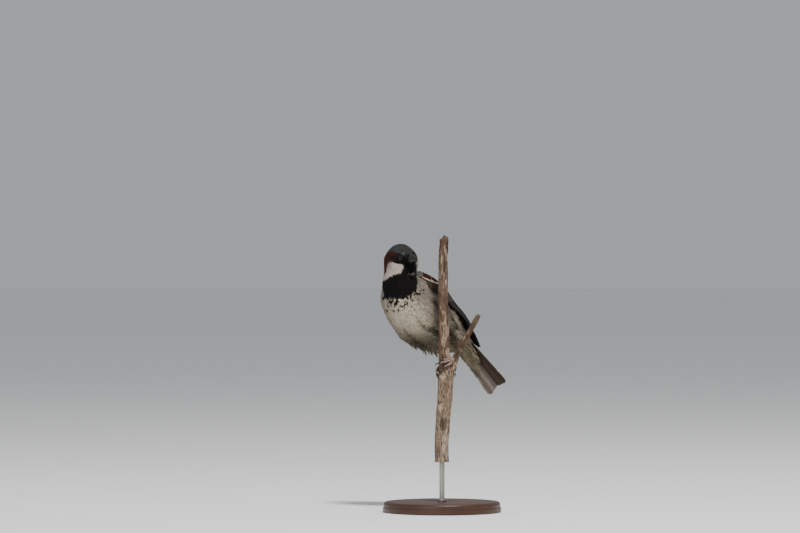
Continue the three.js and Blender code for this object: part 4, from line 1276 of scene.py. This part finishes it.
def toe_line(palm, toe):
    """A toe's middle line: from the palm, round the stem, arched a little off the bark."""
    from_angle, to_angle, start, end = toe[:4]
    share = np.array((0, 0.33, 0.66, 1.0))
    centre, radius = stem_at(start + (end - start) * share)
    angle = np.radians(from_angle + (to_angle - from_angle) * share)
    r = radius + 0.25 + (1.0 - 0.3 * share) + 0.5 * np.sin(np.pi * share)
    ring = centre + np.stack([r * np.cos(angle), r * np.sin(angle), 0 * r], -1)
    return np.vstack([palm, ring])


def claw_line(line, length, turn_in):
    """A claw's middle line: on from the toe, arched, turning in to the bark and down."""
    root = line[-1]
    ahead = unit(run_along(line, np.array(1.0), 0.02, 0.5))
    inward = unit((stem_at(root[2])[0] - root) * (1, 1, 0))
    share = np.array((-0.2, 0.0, 0.35, 0.7, 1.0))[:, None]
    curl = inward * length * (turn_in * share - 0.25 * np.sin(np.pi * share))
    return root + ahead * share * length + curl - np.array((0, 0, 0.25 * length)) * share**2


def scaled_bar(line, radius_at, rings, sides, flat=1.0):
    """A bar along a line: the radius at each share of its length and angle round it, the top at a quarter turn."""
    u, angle = lattice(np.linspace(0, 1, rings), turns(sides))
    p = spline(line, u, 0.5)
    ahead = unit(run_along(line, u, 0.01, 0.5))
    wide = unit(np.cross(ahead, (0.0, 0.0, 1.0)))
    up = np.cross(wide, ahead)
    r = radius_at(u, angle)
    return tube(p + combine(wide, -flat * r * np.cos(angle), up, r * np.sin(angle)))


def toe_radius(u, angle):
    """A toe: tapering, with three pads below and thirteen overlapping plates along its top."""
    plates = 0.13 * ((u * 13) % 1.0 - 0.4) * smooth(np.sin(angle), -0.4, 0.2)
    pads = 0.13 * np.cos(2 * np.pi * 3 * u) * (np.sin(angle) < 0.2)
    close = np.sqrt(np.clip(1 - np.clip((u - 0.86) / 0.14, 0, 1) ** 2, 0.22, 1))
    return (1.0 - 0.3 * u + plates + pads) * close


def shin_radius(u, angle):
    """The tarsus: slim in the middle, wider at both joints, with nine broad plates down its front."""
    plates = 0.12 * ((u * 9) % 1.0 - 0.4) * smooth(np.sin(angle), -0.5, 0.1)
    return 1.0 + 0.22 * np.abs(2 * u - 1) ** 3 + plates


def foot_shape(side):
    """Tarsus, ball of the foot and toes of one leg, and the lines its claws start from."""
    heel, ankle, palm, toes = FEET[side]
    shapes = [scaled_bar(np.array((palm, ankle, heel), float), shin_radius, 90, 24)]
    polar, turn = lattice(np.pi * np.linspace(0.02, 0.98, 24), turns(32))
    knob = np.stack([np.sin(polar) * np.cos(turn), np.sin(polar) * np.sin(turn), -np.cos(polar)], -1)
    knob = knob * (1.95 + 0.06 * np.sin(7 * turn) * np.sin(5 * polar))[..., None]
    shapes.append(tube(np.array(palm) + knob))
    lines = [toe_line(palm, toe) for toe in toes]
    shapes += [scaled_bar(line, toe_radius, 64, 20) for line in lines]
    return gather(shapes), lines


# ---------- settings
def tone_of(code, name, about):
    """A colour setting, given as sRGB hex."""
    return bpy.props.FloatVectorProperty(
        name=name, description=about, subtype="COLOR", size=3, min=0, max=1, default=linear(code)
    )


def measure_of(default, name, about, unit="LENGTH"):
    """A length in metres, a power in watts or a plain number as a setting."""
    return bpy.props.FloatProperty(name=name, description=about, default=default, unit=unit)


def share_of(default, name, about, low=0.0):
    """A share or a small length as a setting."""
    return bpy.props.FloatProperty(name=name, description=about, default=default, min=low, max=2.0, subtype="FACTOR")


# Colours of the plumage: name, middle and rim of the feathers, and where they are.
PAINTS = (
    ("crown", "353a3a", "424643", "Ash grey of the cap"),
    ("forehead", "33302b", None, "Browner grey over the bill"),
    ("chestnut", "3c0f06", "481a0d", "Band from the eye to the nape"),
    ("lores", "060504", None, "Black between bill and eye"),
    ("eye_stripe", "1c120d", None, "Dark brown behind the eye"),
    ("loral_spot", "8f8c84", None, "Grey mark before the eye"),
    ("cheek", "c0b4a6", "cdc3b6", "White of the cheek"),
    # This grey is also laid as painted shade on the front of the far cheek.
    ("ear", "8a7e74", None, "Grey over the ear"),
    ("bib", "0a0605", "100a08", "Black of the throat and breast"),
    ("nape", "6f5a49", "857261", "Grey brown of the hind neck"),
    ("breast", "c6b9a2", "d1c5b1", "Pale grey of the breast"),
    ("flank", "8b8073", "9d9285", "Brownish grey of the flanks"),
    ("side", "66625b", "6f6c67", "Grey of the breast's side, over the bend of the wing"),
    # Painted shade and the belly's own colour: this dull cream is darker than the real belly, for the shade under the
    # body.
    ("belly", "666250", "77735f", "Dull cream of the belly"),
    # Painted shade: dark olive grey for the shade on the lowest, downward-facing part of the belly.
    ("belly_low", "4e4935", "5d5843", "Olive grey of the lowest part of the belly"),
    ("vent", "6c624f", "958b76", "Darker middles of the undertail coverts"),
    # Painted shade: the dark brown laid in the bands where shadow falls on the trunk; the feathers there are not
    # darker.
    ("fold", "3c3127", None, "Dark bases of feathers where two tracts meet"),
    ("mantle", "7b5032", "9c7550", "Brown of the back"),
    ("streak", "1c1511", None, "Black streaks of the back"),
    ("rump", "75695c", "85796b", "Grey brown of the rump"),
    ("shoulder", "3c1607", "4a2110", "Chestnut of the lesser coverts"),
    ("median", "1e1814", None, "Black bases of the median coverts"),
    ("bar", "c6bba8", None, "White tips of the median coverts"),
    ("greater", "2b201a", None, "Dark middles of the greater coverts"),
    ("covert_rim", "513a29", None, "Brown edges of the coverts"),
    ("secondary_rim", "6b5c44", None, "Olive brown edges of the secondaries"),
    ("tertial", "261d18", "9a7550", "Dark middles of the tertials"),
    ("quill", "1e1a17", "53453a", "Dark brown of the flight feathers"),
    ("rectrix", "5b504a", "7d7169", "Dull brown of the tail"),
)


def paint_settings():
    """A colour setting for each paint, and one for its rim where that differs."""
    settings = {}
    for name, middle, edge, about in PAINTS:
        label = name.replace("_", " ").capitalize()
        settings[name] = tone_of(middle, label, about)
        if edge:
            settings[f"{name}_rim"] = tone_of(edge, f"{label} rim", f"{about}: edges of the feathers")
    return settings


class SparrowMarkings(bpy.types.PropertyGroup):
    """Colours of the plumage. Each rim is the paler or darker edge of the feathers there."""

    __annotations__ = paint_settings()


class SparrowCoat(bpy.types.PropertyGroup):
    """How the body's feathers are laid."""

    tight: share_of(0.74, "Spacing", "Distance between feather roots, in half widths of a feather", 0.4)
    lean: share_of(0.09, "Unevenness", "Spread of the feathers' directions, in radians")
    lift: share_of(0.24, "Loose tips", "Most that a feather's tip stands off the outline, in millimetres")
    seed: bpy.props.IntProperty(name="Seed", description="Start of the random numbers", default=11, min=0)


class SparrowHorn(bpy.types.PropertyGroup):
    """Colours of bill, feet, claws and eyes."""

    bill: tone_of("0f110c", "Bill", "Black horn of the bill")
    bill_worn: tone_of("252920", "Worn bill", "Greyer horn where the bill is worn")
    leg: tone_of("6d5546", "Legs", "Flesh brown of the scaled legs")
    leg_worn: tone_of("937d6b", "Worn scales", "Paler dry edges of the scales")
    claw: tone_of("16110f", "Claws", "Dark horn of the claws")
    iris: tone_of("1e0f08", "Iris", "Dark brown of the iris")
    lid: tone_of("120f0d", "Lids", "Bare rim of the lids")
    lid_worn: tone_of("211c18", "Worn lids", "Paler dry skin of the lids")


class PerchStand(bpy.types.PropertyGroup):
    """The perch's bark and the display stand."""

    bark: tone_of("574234", "Bark", "Weathered brown bark")
    twig: tone_of("4e3a2b", "Twig bark", "Darker bark of the side branch")
    bark_pale: tone_of("a8957e", "Pale bark", "Bleached patches of the bark")
    bark_red: tone_of("57352a", "Red bark", "Reddish stretches of the bark")
    crack: tone_of("2a1d15", "Cracks", "Dark cracks of the bark")
    wood_bare: tone_of("5c4c3b", "Broken end", "Weathered wood at the broken ends")
    wood: tone_of("3b2417", "Base", "Dark stained wood of the base")
    steel: tone_of("b9b5ad", "Rod", "Brushed steel of the rod")
    steel_dull: tone_of("8f8c86", "Dull rod", "Duller streaks of the steel")
    height: measure_of(8 * MM, "Base thickness", "Thickness of the base plate")
    radius: measure_of(45 * MM, "Base radius", "Radius of the base")


class StudioStage(bpy.types.PropertyGroup):
    """Camera, floor and lights."""

    distance: measure_of(3.0, "Distance", "Camera distance")
    lens: measure_of(177.63, "Lens", "Focal length in millimetres", "NONE")
    floor: tone_of("f9f9f7", "Floor", "Plain pale floor")
    sky: tone_of("f1f4f9", "Surroundings", "Plain pale surroundings")
    sky_level: measure_of(0.45, "Surroundings' level", "Strength of the light from the surroundings", "NONE")
    key: measure_of(55, "Key light", "Power of the large light", "POWER")
    fill: measure_of(3, "Fill light", "Power of the weak light", "POWER")
    glint: measure_of(12, "Glint", "Power of the light that only shows in gloss", "POWER")


# ---------- operators
# Coat pieces: name, stretch along the body, stretch round it, barbs to a feather, CAD node under it.
COAT_PIECES = (
    ("coat_nape", 0.735, 0.999, -0.02, 0.52, 3, "head"),
    ("coat_face", 0.735, 0.999, 0.52, 0.98, 3, "head"),
    ("coat_hindneck", 0.62, 0.735, 0.0, 0.5, 5, "neck"),
    ("coat_throat", 0.62, 0.735, 0.5, 1.0, 5, "neck"),
    ("coat_mantle", 0.40, 0.62, 0.0, 0.5, 7, "trunk"),
    ("coat_breast", 0.52, 0.62, 0.5, 1.0, 9, "trunk"),
    ("coat_chest", 0.40, 0.52, 0.5, 1.0, 9, "trunk"),
    ("coat_back", 0.20, 0.40, 0.0, 0.5, 7, "trunk"),
    ("coat_belly", 0.20, 0.40, 0.5, 1.0, 9, "trunk"),
    ("coat_rump", 0.004, 0.20, 0.0, 0.5, 7, "trunk"),
    ("coat_undertail", 0.004, 0.20, 0.5, 1.0, 7, "trunk"),
)
GOLDEN = 0.618034  # share of a turn from each feather of a shank to the next
SIDES = (("left", 1), ("right", -1))


def paint_box():
    """The plumage colours by name, as rows of linear red, green, blue and presence."""
    settings = bpy.context.scene.sparrow_markings
    names = SparrowMarkings.__annotations__
    return {name: np.array([*getattr(settings, name), 1.0]) for name in names}


def coat_material():
    """Soft body feathers: few loose barbs and wide soft rims, so the coat looks downy and quite matt."""
    name = "contour_feather_keratin"
    return bpy.data.materials.get(name) or feather_material(name, 0.55, 0.95, barbs=9)


def flight_material():
    """Stiff wing and tail feathers: close barbs, a dark shaft and narrow rims, which give each blade a crisp edge."""
    name = "flight_feather_keratin"
    return bpy.data.materials.get(name) or feather_material(name, 0.50, 0.72, barbs=70, shaft=0.35, gloss=0.06)


def feathered(p):
    """Where the body carries feathers: not under the wings, in the eyes' openings or at the bill's root."""
    q = inside(HEAD, p)
    eyes = [eye_frame(side) for side in (-1, 1)]
    eye = np.minimum(*[np.linalg.norm(q - middle - 2.0 * axis, axis=1) for middle, axis, _, _ in eyes])
    bill = np.hypot(q[:, 1] / 2.7, (q[:, 2] + 1.0) / 2.9) + 10 * (q[:, 0] < 5)
    return (under_wing(p) < 0.75) & (eye > EYE_OPEN - 0.2) & (bill > 1.0)


class SPARROW_OT_skin(bpy.types.Operator):
    """One skin under all the feathers of head, neck, trunk and shanks"""

    bl_idname = "sparrow.skin"
    bl_label = "Skin"

    def execute(self, context):
        skin = flesh("skin", 1.0)
        for key, tones in zip(("Core", "Rim"), plumage(places_of(skin.data), paint_box())):
            fill(skin.data.attributes.new(key, "FLOAT_COLOR", "POINT").data, "color", tones)
        # Skin under down: hardly any gloss, and darker than the feathers, as the gaps between them are in shade.
        material, tree, shader = new_material("down_covered_skin", roughness=0.9, specular_ior_level=0.1)
        core, rim = (add(tree, "Attribute", {"attribute_name": key}) for key in ("Core", "Rim"))
        down = add(tree, "TexNoise", {"Scale": 1 / (0.6 * MM), "Detail": 3.0}, {0: add(tree, "TexCoord")})
        tone = add(tree, "Mix", TINT, {0: down, 6: core, 7: rim})
        shade = add(tree, "Mix", {**TIMES, 7: (0.6, 0.58, 0.56, 1)}, {6: tone})
        relief = add(tree, "Bump", {"Strength": 0.5, "Distance": 0.2 * MM}, {"Height": down})
        join(shader, Base_Color=shade, Normal=relief)
        skin.data.materials.clear()
        skin.data.materials.append(material)
        settle_piece(skin, "plumage", "head", "neck", "trunk", "thigh_left", "thigh_right")
        return {"FINISHED"}


class SPARROW_OT_coat(bpy.types.Operator):
    """Feathers over the body, in pieces by region, and over the shanks"""

    bl_idname = "sparrow.coat"
    bl_label = "Coat"

    def execute(self, context):
        settings = context.scene.sparrow_coat
        paint = paint_box()
        outline = flesh("outline", 0.0)
        for k, (name, t0, t1, v0, v1, barbs, node) in enumerate(COAT_PIECES):
            rng = np.random.default_rng(settings.seed + k)
            t, v = scatter(t0, t1, v0, v1, settings.tight, k)
            start = body(t, v)
            keep = feathered(start)
            t, v, start = t[keep], v[keep], start[keep]
            length, half, depth = coat(t, start)
            length = length * rng.uniform(0.85, 1.15, len(t))
            lean = rng.normal(0, settings.lean, len(t))
            path = trace(start, t, length, lean, outline)
            lift = rng.uniform(-0.1, settings.lift, len(t)) * np.minimum(1, half / 1.6)
            # Wisps hang off the belly's lower edge.
            wispy = zone(0.30, 0.43, 0.02, t) * np.maximum(zone(0.60, 0.70, 0.02, v), zone(0.80, 0.90, 0.02, v))
            lift = lift + 4.5 * wispy * rng.uniform(0, 1, len(t)) ** 3.4
            places, *rest = coat_feathers(path, half, depth, lift, barbs, rng)
            if t1 > 0.8:
                places = clear_of_eyes(places)
            # Each feather takes the colour of the place where most of it shows.
            share = np.full((len(t), 1), 0.72)
            shown = on_lines(path, share, 0 * share, 0 * share)[:, 0]
            rough, spread = (0.35, (0.80, 1.12)) if t0 < 0.7 else (0.16, (0.90, 1.10))
            colours = plumage(shown, paint, rough, seed=k)
            vary = rng.uniform(*spread, (len(t), 1))
            core, rim = (c * np.concatenate([vary, vary, vary, 1 + 0 * vary], 1) for c in colours)
            homes = np.stack([(v - v0) / (v1 - v0), (t - t0) / (t1 - t0)], -1)
            shape = paint_vanes((places, *rest), core, rim, homes=homes)
            make_piece(name, shape, coat_material(), "plumage", node)
        self.shanks(settings, paint, outline)
        bpy.data.objects.remove(outline)
        return {"FINISHED"}

    def shanks(self, settings, paint, outline):
        """Small loose feathers down each shank to the heel."""
        count = 150
        for k, (thigh, name) in enumerate(zip(THIGHS, ("left", "right"))):
            rng = np.random.default_rng(settings.seed + 40 + k)
            share = 0.25 + 0.68 * (np.arange(count) + 0.5) / count
            turn = 2 * np.pi * GOLDEN * np.arange(count)
            start = on_shank(*thigh, share, turn)
            length = 4.6 - 2.2 * share
            lean = rng.normal(0, 0.16, count)
            towards = np.broadcast_to(unit(np.subtract(thigh[1], thigh[0])), (count, 3))
            path = trace(start, np.full(count, 0.3), length, lean, outline, towards)
            half = 1.25 - 0.5 * share
            shape = coat_feathers(path, half, np.full(count, 0.8), rng.uniform(0, 0.3, count), 5, rng)
            homes = np.stack([turn / (2 * np.pi) % 1, (share - 0.25) / 0.7], -1)
            shape = paint_vanes(shape, *tones_of(paint, ("flank", "flank_rim"), count), homes=homes)
            make_piece(f"coat_shank_{name}", shape, coat_material(), "plumage", f"thigh_{name}")


class SPARROW_OT_wings(bpy.types.Operator):
    """Both folded wings: inner layer, large feathers, and the small ones over the shoulder"""

    bl_idname = "sparrow.wings"
    bl_label = "Wings"

    def execute(self, context):
        paint = paint_box()
        for name, side in SIDES:
            node = f"wing_{name}"
            make_piece(f"wing_lining_{name}", wing_lining(side, paint), flight_material(), "flight_feathers", node)
            make_piece(f"wing_feathers_{name}", wing_feathers(side, paint), flight_material(), "flight_feathers", node)
            tufts = covert_tufts(side, paint, 60 + side)
            make_piece(f"coat_shoulder_{name}", tufts, coat_material(), "plumage", node)
        return {"FINISHED"}


class SPARROW_OT_tail(bpy.types.Operator):
    """The closed tail of twelve feathers"""

    bl_idname = "sparrow.tail"
    bl_label = "Tail"

    def execute(self, context):
        paint = paint_box()
        make_piece("tail_feathers", tail_feathers(paint), flight_material(), "tail_feathers", "tail")
        make_piece("coat_undertail_long", undertail_coverts(paint, 71), coat_material(), "plumage", "trunk")
        return {"FINISHED"}


class SPARROW_OT_bill(bpy.types.Operator):
    """Both halves of the bill"""

    bl_idname = "sparrow.bill"
    bl_label = "Bill"

    def execute(self, context):
        horn = context.scene.sparrow_horn
        # Beta keratin: a smooth horn sheath with a soft gloss, finely worn along its length.
        tones = (horn.bill, horn.bill_worn)
        grain = {"size": 1.6, "detail": 4.0, "bump": 0.03, "stretch": (1, 1, 2.5)}
        material = spotted_material("bill_horn_keratin", *tones, **grain, roughness=0.36)
        for name, upper in (("bill_upper", True), ("bill_lower", False)):
            make_piece(f"{name}_horn", bill_half(upper), material, "bill_horn", name)
        make_piece("coat_bristles", bill_bristles(paint_box(), 81), coat_material(), "plumage", "head")
        return {"FINISHED"}


class SPARROW_OT_eyes(bpy.types.Operator):
    """Eyeballs and the rims of their lids"""

    bl_idname = "sparrow.eyes"
    bl_label = "Eyes"

    def execute(self, context):
        horn = context.scene.sparrow_horn
        # Wet cornea over a dark iris: a clear, sharp gloss.
        material, tree, shader = new_material("wet_eye", roughness=0.03, ior=1.34)
        facing = add(tree, "Attribute", {"attribute_name": "Facing"})
        parts = add(tree, "SeparateColor", links={0: facing})
        pupil = add(tree, "MapRange", {1: 0.885, 2: 0.905}, {0: parts})
        rim = add(tree, "MapRange", {1: 0.70, 2: 0.76}, {0: parts})
        iris = add(tree, "Mix", {**TINT, 6: (0.004, 0.003, 0.003, 1), 7: rgba(horn.iris)}, {0: rim})
        tone = add(tree, "Mix", {**TINT, 7: (0.001, 0.001, 0.001, 1)}, {0: pupil, 6: iris})
        join(shader, Base_Color=tone)
        # Bare skin of the lids: dark and dull, so the wet eye stands out in it.
        grain = {"size": 0.5, "detail": 3.0, "bump": 0.04}
        lid = spotted_material("lid_skin", horn.lid, horn.lid_worn, **grain, roughness=0.6)
        for name, side in SIDES:
            make_piece(f"eye_ball_{name}", eye_ball(side), material, "eye", f"eye_{name}")
            make_piece(f"eye_lids_{name}", eye_lids(side), lid, "leg_skin", f"eye_{name}")
        return {"FINISHED"}


class SPARROW_OT_feet(bpy.types.Operator):
    """Scaled legs and toes, and the claws"""

    bl_idname = "sparrow.feet"
    bl_label = "Legs and claws"

    def execute(self, context):
        horn = context.scene.sparrow_horn
        # Dry scutes over thin skin, paler at their worn edges.
        grain = {"size": 1.3, "detail": 3.0, "bump": 0.06}
        scales = spotted_material("scaled_leg_skin", horn.leg, horn.leg_worn, **grain, roughness=0.55)
        # Claws of harder, smoother horn, with a sharper gloss than the toes.
        tones = (horn.claw, [3 * c for c in horn.claw])
        grain = {"size": 0.8, "detail": 3.0, "bump": 0.02}
        claw = spotted_material("claw_horn_keratin", *tones, **grain, roughness=0.32)
        for name in FEET:
            shape, lines = foot_shape(name)
            make_piece(f"leg_{name}_scaled", shape, scales, "leg_skin", f"leg_{name}")
            for k, (line, toe) in enumerate(zip(lines, FEET[name][3]), 1):
                taper = lambda u, angle: (0.76 * (1 - 0.84 * u**1.5)) * (1 + 0.15 * np.sin(angle))
                horn_shape = scaled_bar(claw_line(line, *toe[4:]), taper, 40, 16, 0.72)
                make_piece(f"claw_{name}_{k}_horn", horn_shape, claw, "claw_horn", f"claw_{name}_{k}")
        return {"FINISHED"}


class SPARROW_OT_perch(bpy.types.Operator):
    """The cut stem and its side branch"""

    bl_idname = "sparrow.perch"
    bl_label = "Perch"

    def execute(self, context):
        stand = context.scene.perch_stand
        stem = limb(STEM, rings=760, sides=84, relief=1.0, splinter=4.0)
        branch = limb(BRANCH, rings=220, sides=48, relief=0.5, splinter=1.5)
        make_piece("stem_bark", stem, self.bark("weathered_bark", stand, stand.bark), "bark", "perch_stem")
        make_piece("branch_bark", branch, self.bark("twig_bark", stand, stand.twig), "bark", "perch_branch")
        return {"FINISHED"}

    def bark(self, name, stand, tone):
        """Weathered bark: matt fibres along the stem, dark in the cracks, with bleached and reddish stretches."""
        material, tree, shader = new_material(name, roughness=0.88, specular_ior_level=0.2)
        bark = add(tree, "Attribute", {"attribute_name": "Bark"})
        parts = add(tree, "SeparateColor", links={0: bark})
        where = add(tree, "TexCoord")
        # Fibres about a millimetre wide and nine long; flecks half that wide and three long.
        fibre_place = add(tree, "Mapping", {"Scale": [k / MM for k in (0.9, 0.9, 0.11)]}, {0: where})
        fibre = add(tree, "TexNoise", {"Scale": 1.0, "Detail": 4.0, "Roughness": 0.65}, {0: fibre_place})
        fleck_place = add(tree, "Mapping", {"Scale": [k / MM for k in (1.9, 1.9, 0.3)]}, {0: where})
        blotch = add(tree, "TexNoise", {"Scale": 1.0, "Detail": 4.0, "Roughness": 0.7}, {0: fleck_place})
        base = add(tree, "Mix", {**TINT, 6: rgba(tone), 7: rgba(stand.bark_red)}, {0: parts})
        edge = add(tree, "Math", {"operation": "MULTIPLY_ADD", 1: 0.16}, {0: parts.outputs[1], 2: blotch})
        spots = add(tree, "MapRange", {1: 0.50, 2: 0.72}, {0: edge})
        toned = add(tree, "Mix", {**TINT, 7: rgba(stand.bark_pale)}, {0: spots, 6: base})
        worn = add(tree, "Mix", {**TINT, 7: rgba(stand.wood_bare)}, {0: bark.outputs["Alpha"], 6: toned})
        value = add(tree, "MapRange", {1: 0.32, 2: 0.68, 3: 0.5, 4: 1.4}, {0: fibre})
        lined = add(tree, "Mix", TIMES, {6: worn, 7: value})
        gap = add(tree, "Math", {"operation": "MULTIPLY", 1: 0.7}, {0: parts})
        final = add(tree, "Mix", {**TINT, 7: rgba(stand.crack)}, {0: gap, 6: lined})
        relief = add(tree, "Bump", {"Strength": 0.7, "Distance": 0.15 * MM}, {"Height": fibre})
        join(shader, Base_Color=final, Normal=relief)
        return material


def lathe(profile, sides):
    """A turned shape from the radius and height of each ring of its profile."""
    turn = turns(sides)
    radius, height = profile[:, :1], profile[:, 1:]
    return tube(np.stack([radius * np.cos(turn), radius * np.sin(turn), height + 0 * turn], -1))


class SPARROW_OT_stand(bpy.types.Operator):
    """The turned base and its rod"""

    bl_idname = "sparrow.stand"
    bl_label = "Display stand"

    def execute(self, context):
        stand = context.scene.perch_stand
        radius, height = stand.radius / MM, stand.height / MM
        # Profile of the turned plate, as radius and height, from the middle of the underside round to the top.
        arc = np.radians(np.linspace(0, 90, 9))
        outer = [(0.02, 0.0), (radius - 0.8, 0.0), (radius - 0.2, 0.25), (radius, 0.8), (radius, height * 0.45)]
        step = [(radius - 0.7, height * 0.45 + 0.35), (radius - 0.7, height * 0.55)]
        shoulder = [(radius - 2.7 + 2.0 * np.cos(a), height - 2.0 + 2.0 * np.sin(a)) for a in arc]
        top = [(20.0, height), (7.0, height), (6.2, height - 0.25), (5.6, height), (0.02, height)]
        profile = np.array(outer + step + shoulder + top)
        # Stained wood under a thin wax: grain along one way, and a low gloss.
        wood, tree, shader = new_material("stained_turned_wood", roughness=0.42, specular_ior_level=0.4)
        # Grain about six millimetres wide and nine times as long.
        place = add(tree, "Mapping", {"Scale": [k / MM for k in (0.018, 0.16, 0.16)]}, {0: add(tree, "TexCoord")})
        grain = add(tree, "TexNoise", {"Scale": 1.0, "Detail": 5.0, "Distortion": 0.6}, {0: place})
        pores = add(tree, "TexNoise", {"Scale": 6.0, "Detail": 2.0}, {0: place})
        tone = add(tree, "Mix", {**TINT, 6: rgba(stand.wood, 0.75), 7: rgba(stand.wood, 1.9)}, {0: grain})
        relief = add(tree, "Bump", {"Strength": 0.25, "Distance": 0.1 * MM}, {"Height": pores})
        join(shader, Base_Color=tone, Normal=relief)
        # Steel brushed along the rod: fine streaks down it and a soft metal gloss.
        tones = (stand.steel, stand.steel_dull)
        grain = {"size": 1.2, "detail": 3.0, "bump": 0.01, "stretch": (4, 4, 0.15)}
        metal = spotted_material("brushed_steel_rod", *tones, **grain, metallic=1.0, roughness=0.32)
        z = (3.3, 7.9, 8.05, 8.3, 9.6, 9.9, 10.0, 12.0, 30.0, 49.2, 49.8, 50.0)
        r = (2.0, 2.0, 3.1, 3.4, 3.4, 3.1, 2.0, 2.0, 2.0, 2.0, 1.8, 1.3)
        for name, shape, material, slot, node in (
            ("stand_base_turned", lathe(profile, 160), wood, "base_wood", "stand_base"),
            ("stand_rod_steel", lathe(np.stack([r, z], -1), 40), metal, "rod_metal", "stand_rod"),
        ):
            piece = make_piece(name, shape, material, slot, node)
            piece.modifiers.new("Crisp edges", "EDGE_SPLIT").split_angle = np.radians(35)
        return {"FINISHED"}


FLOOR_HALF, FLOOR_CELLS = 30, 12  # half width in metres, and cells across
LIGHT_AIM = (-0.02, 0.02, 0.16)
# Area lights: name, size, place in metres, and whether they light more than gloss.
LIGHTS = (
    ("key", 0.3, (0.36, -0.95, 2.02), True),
    ("fill", 1.6, (-1.5, -1.8, 0.6), True),
    ("glint", 0.3, (-1.0, -2.2, 0.75), False),
)
CAMERA_X, CAMERA_Z = -31.92, 186.58  # millimetres: in front of the bird's face, looking level


class SPARROW_OT_stage(bpy.types.Operator):
    """Plain pale floor, soft lights and the camera"""

    bl_idname = "sparrow.stage"
    bl_label = "Stage"

    def execute(self, context):
        stage = context.scene.studio_stage
        across = np.linspace(-FLOOR_HALF, FLOOR_HALF, FLOOR_CELLS + 1)
        x, y = lattice(across, across)
        i, j = pairs(np.arange(FLOOR_CELLS), np.arange(FLOOR_CELLS))
        a = i * (FLOOR_CELLS + 1) + j
        b = a + FLOOR_CELLS + 1
        mesh = bpy.data.meshes.new("floor")
        corners = np.stack([x, y, 0 * x], -1).reshape(-1, 3)
        mesh.from_pydata(corners.tolist(), [], np.stack([a, b, b + 1, a + 1], -1).tolist())
        floor = placed("floor", mesh)
        # Matt paint with hardly a change of tone, so that only the soft shadow shows on it.
        darker = [0.97 * c for c in stage.floor]
        mesh.materials.append(
            spotted_material("matt_floor", stage.floor, darker, size=40.0, detail=2.0, roughness=0.9)
        )
        world = bpy.data.worlds.new("soft_room")
        world.use_nodes = True
        background = world.node_tree.nodes["Background"]
        background.inputs[0].default_value = rgba(stage.sky)
        background.inputs[1].default_value = stage.sky_level
        context.scene.world = world
        for name, size, where, diffuse in LIGHTS:
            lamp = bpy.data.lights.new(name, "AREA")
            lamp.energy = getattr(stage, name)
            lamp.size = size
            light = placed(name, lamp)
            light.location = where
            light.rotation_euler = (Vector(LIGHT_AIM) - Vector(where)).to_track_quat("-Z", "Y").to_euler()
            light.visible_diffuse = diffuse
        view = bpy.data.cameras.new("camera")
        view.lens = stage.lens
        view.sensor_width = 36
        view.clip_start, view.clip_end = 0.1, 100
        camera = placed("camera", view)
        camera.location = (CAMERA_X * MM, -stage.distance, CAMERA_Z * MM)
        camera.rotation_euler = (np.pi / 2, 0, 0)
        context.scene.camera = camera
        return {"FINISHED"}


class SPARROW_PT_panel(bpy.types.Panel):
    """Lists the makers of the pieces"""

    bl_label = "Sparrow"
    bl_idname = "SPARROW_PT_panel"
    bl_space_type = "VIEW_3D"
    bl_region_type = "UI"
    bl_category = "Sparrow"

    def draw(self, context):
        """One button to each maker."""
        for maker in MAKERS:
            self.layout.operator(maker.bl_idname)


MAKERS = (
    SPARROW_OT_skin,
    SPARROW_OT_coat,
    SPARROW_OT_wings,
    SPARROW_OT_tail,
    SPARROW_OT_bill,
    SPARROW_OT_eyes,
    SPARROW_OT_feet,
    SPARROW_OT_perch,
    SPARROW_OT_stand,
    SPARROW_OT_stage,
)
GROUPS = {
    "sparrow_markings": SparrowMarkings,
    "sparrow_coat": SparrowCoat,
    "sparrow_horn": SparrowHorn,
    "perch_stand": PerchStand,
    "studio_stage": StudioStage,
}


def register():
    """Registers the settings, the makers and the panel, and puts the settings on the scene."""
    for made in (*GROUPS.values(), *MAKERS, SPARROW_PT_panel):
        bpy.utils.register_class(made)
    for name, group in GROUPS.items():
        setattr(bpy.types.Scene, name, bpy.props.PointerProperty(type=group))


def unregister():
    """Takes all of that away again."""
    for name in GROUPS:
        delattr(bpy.types.Scene, name)
    for made in (SPARROW_PT_panel, *reversed(MAKERS), *reversed(GROUPS.values())):
        bpy.utils.unregister_class(made)


def main():
    """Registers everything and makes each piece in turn."""
    register()
    for maker in MAKERS:
        group, name = maker.bl_idname.split(".")
        getattr(getattr(bpy.ops, group), name)()


if __name__ == "__main__":
    main()
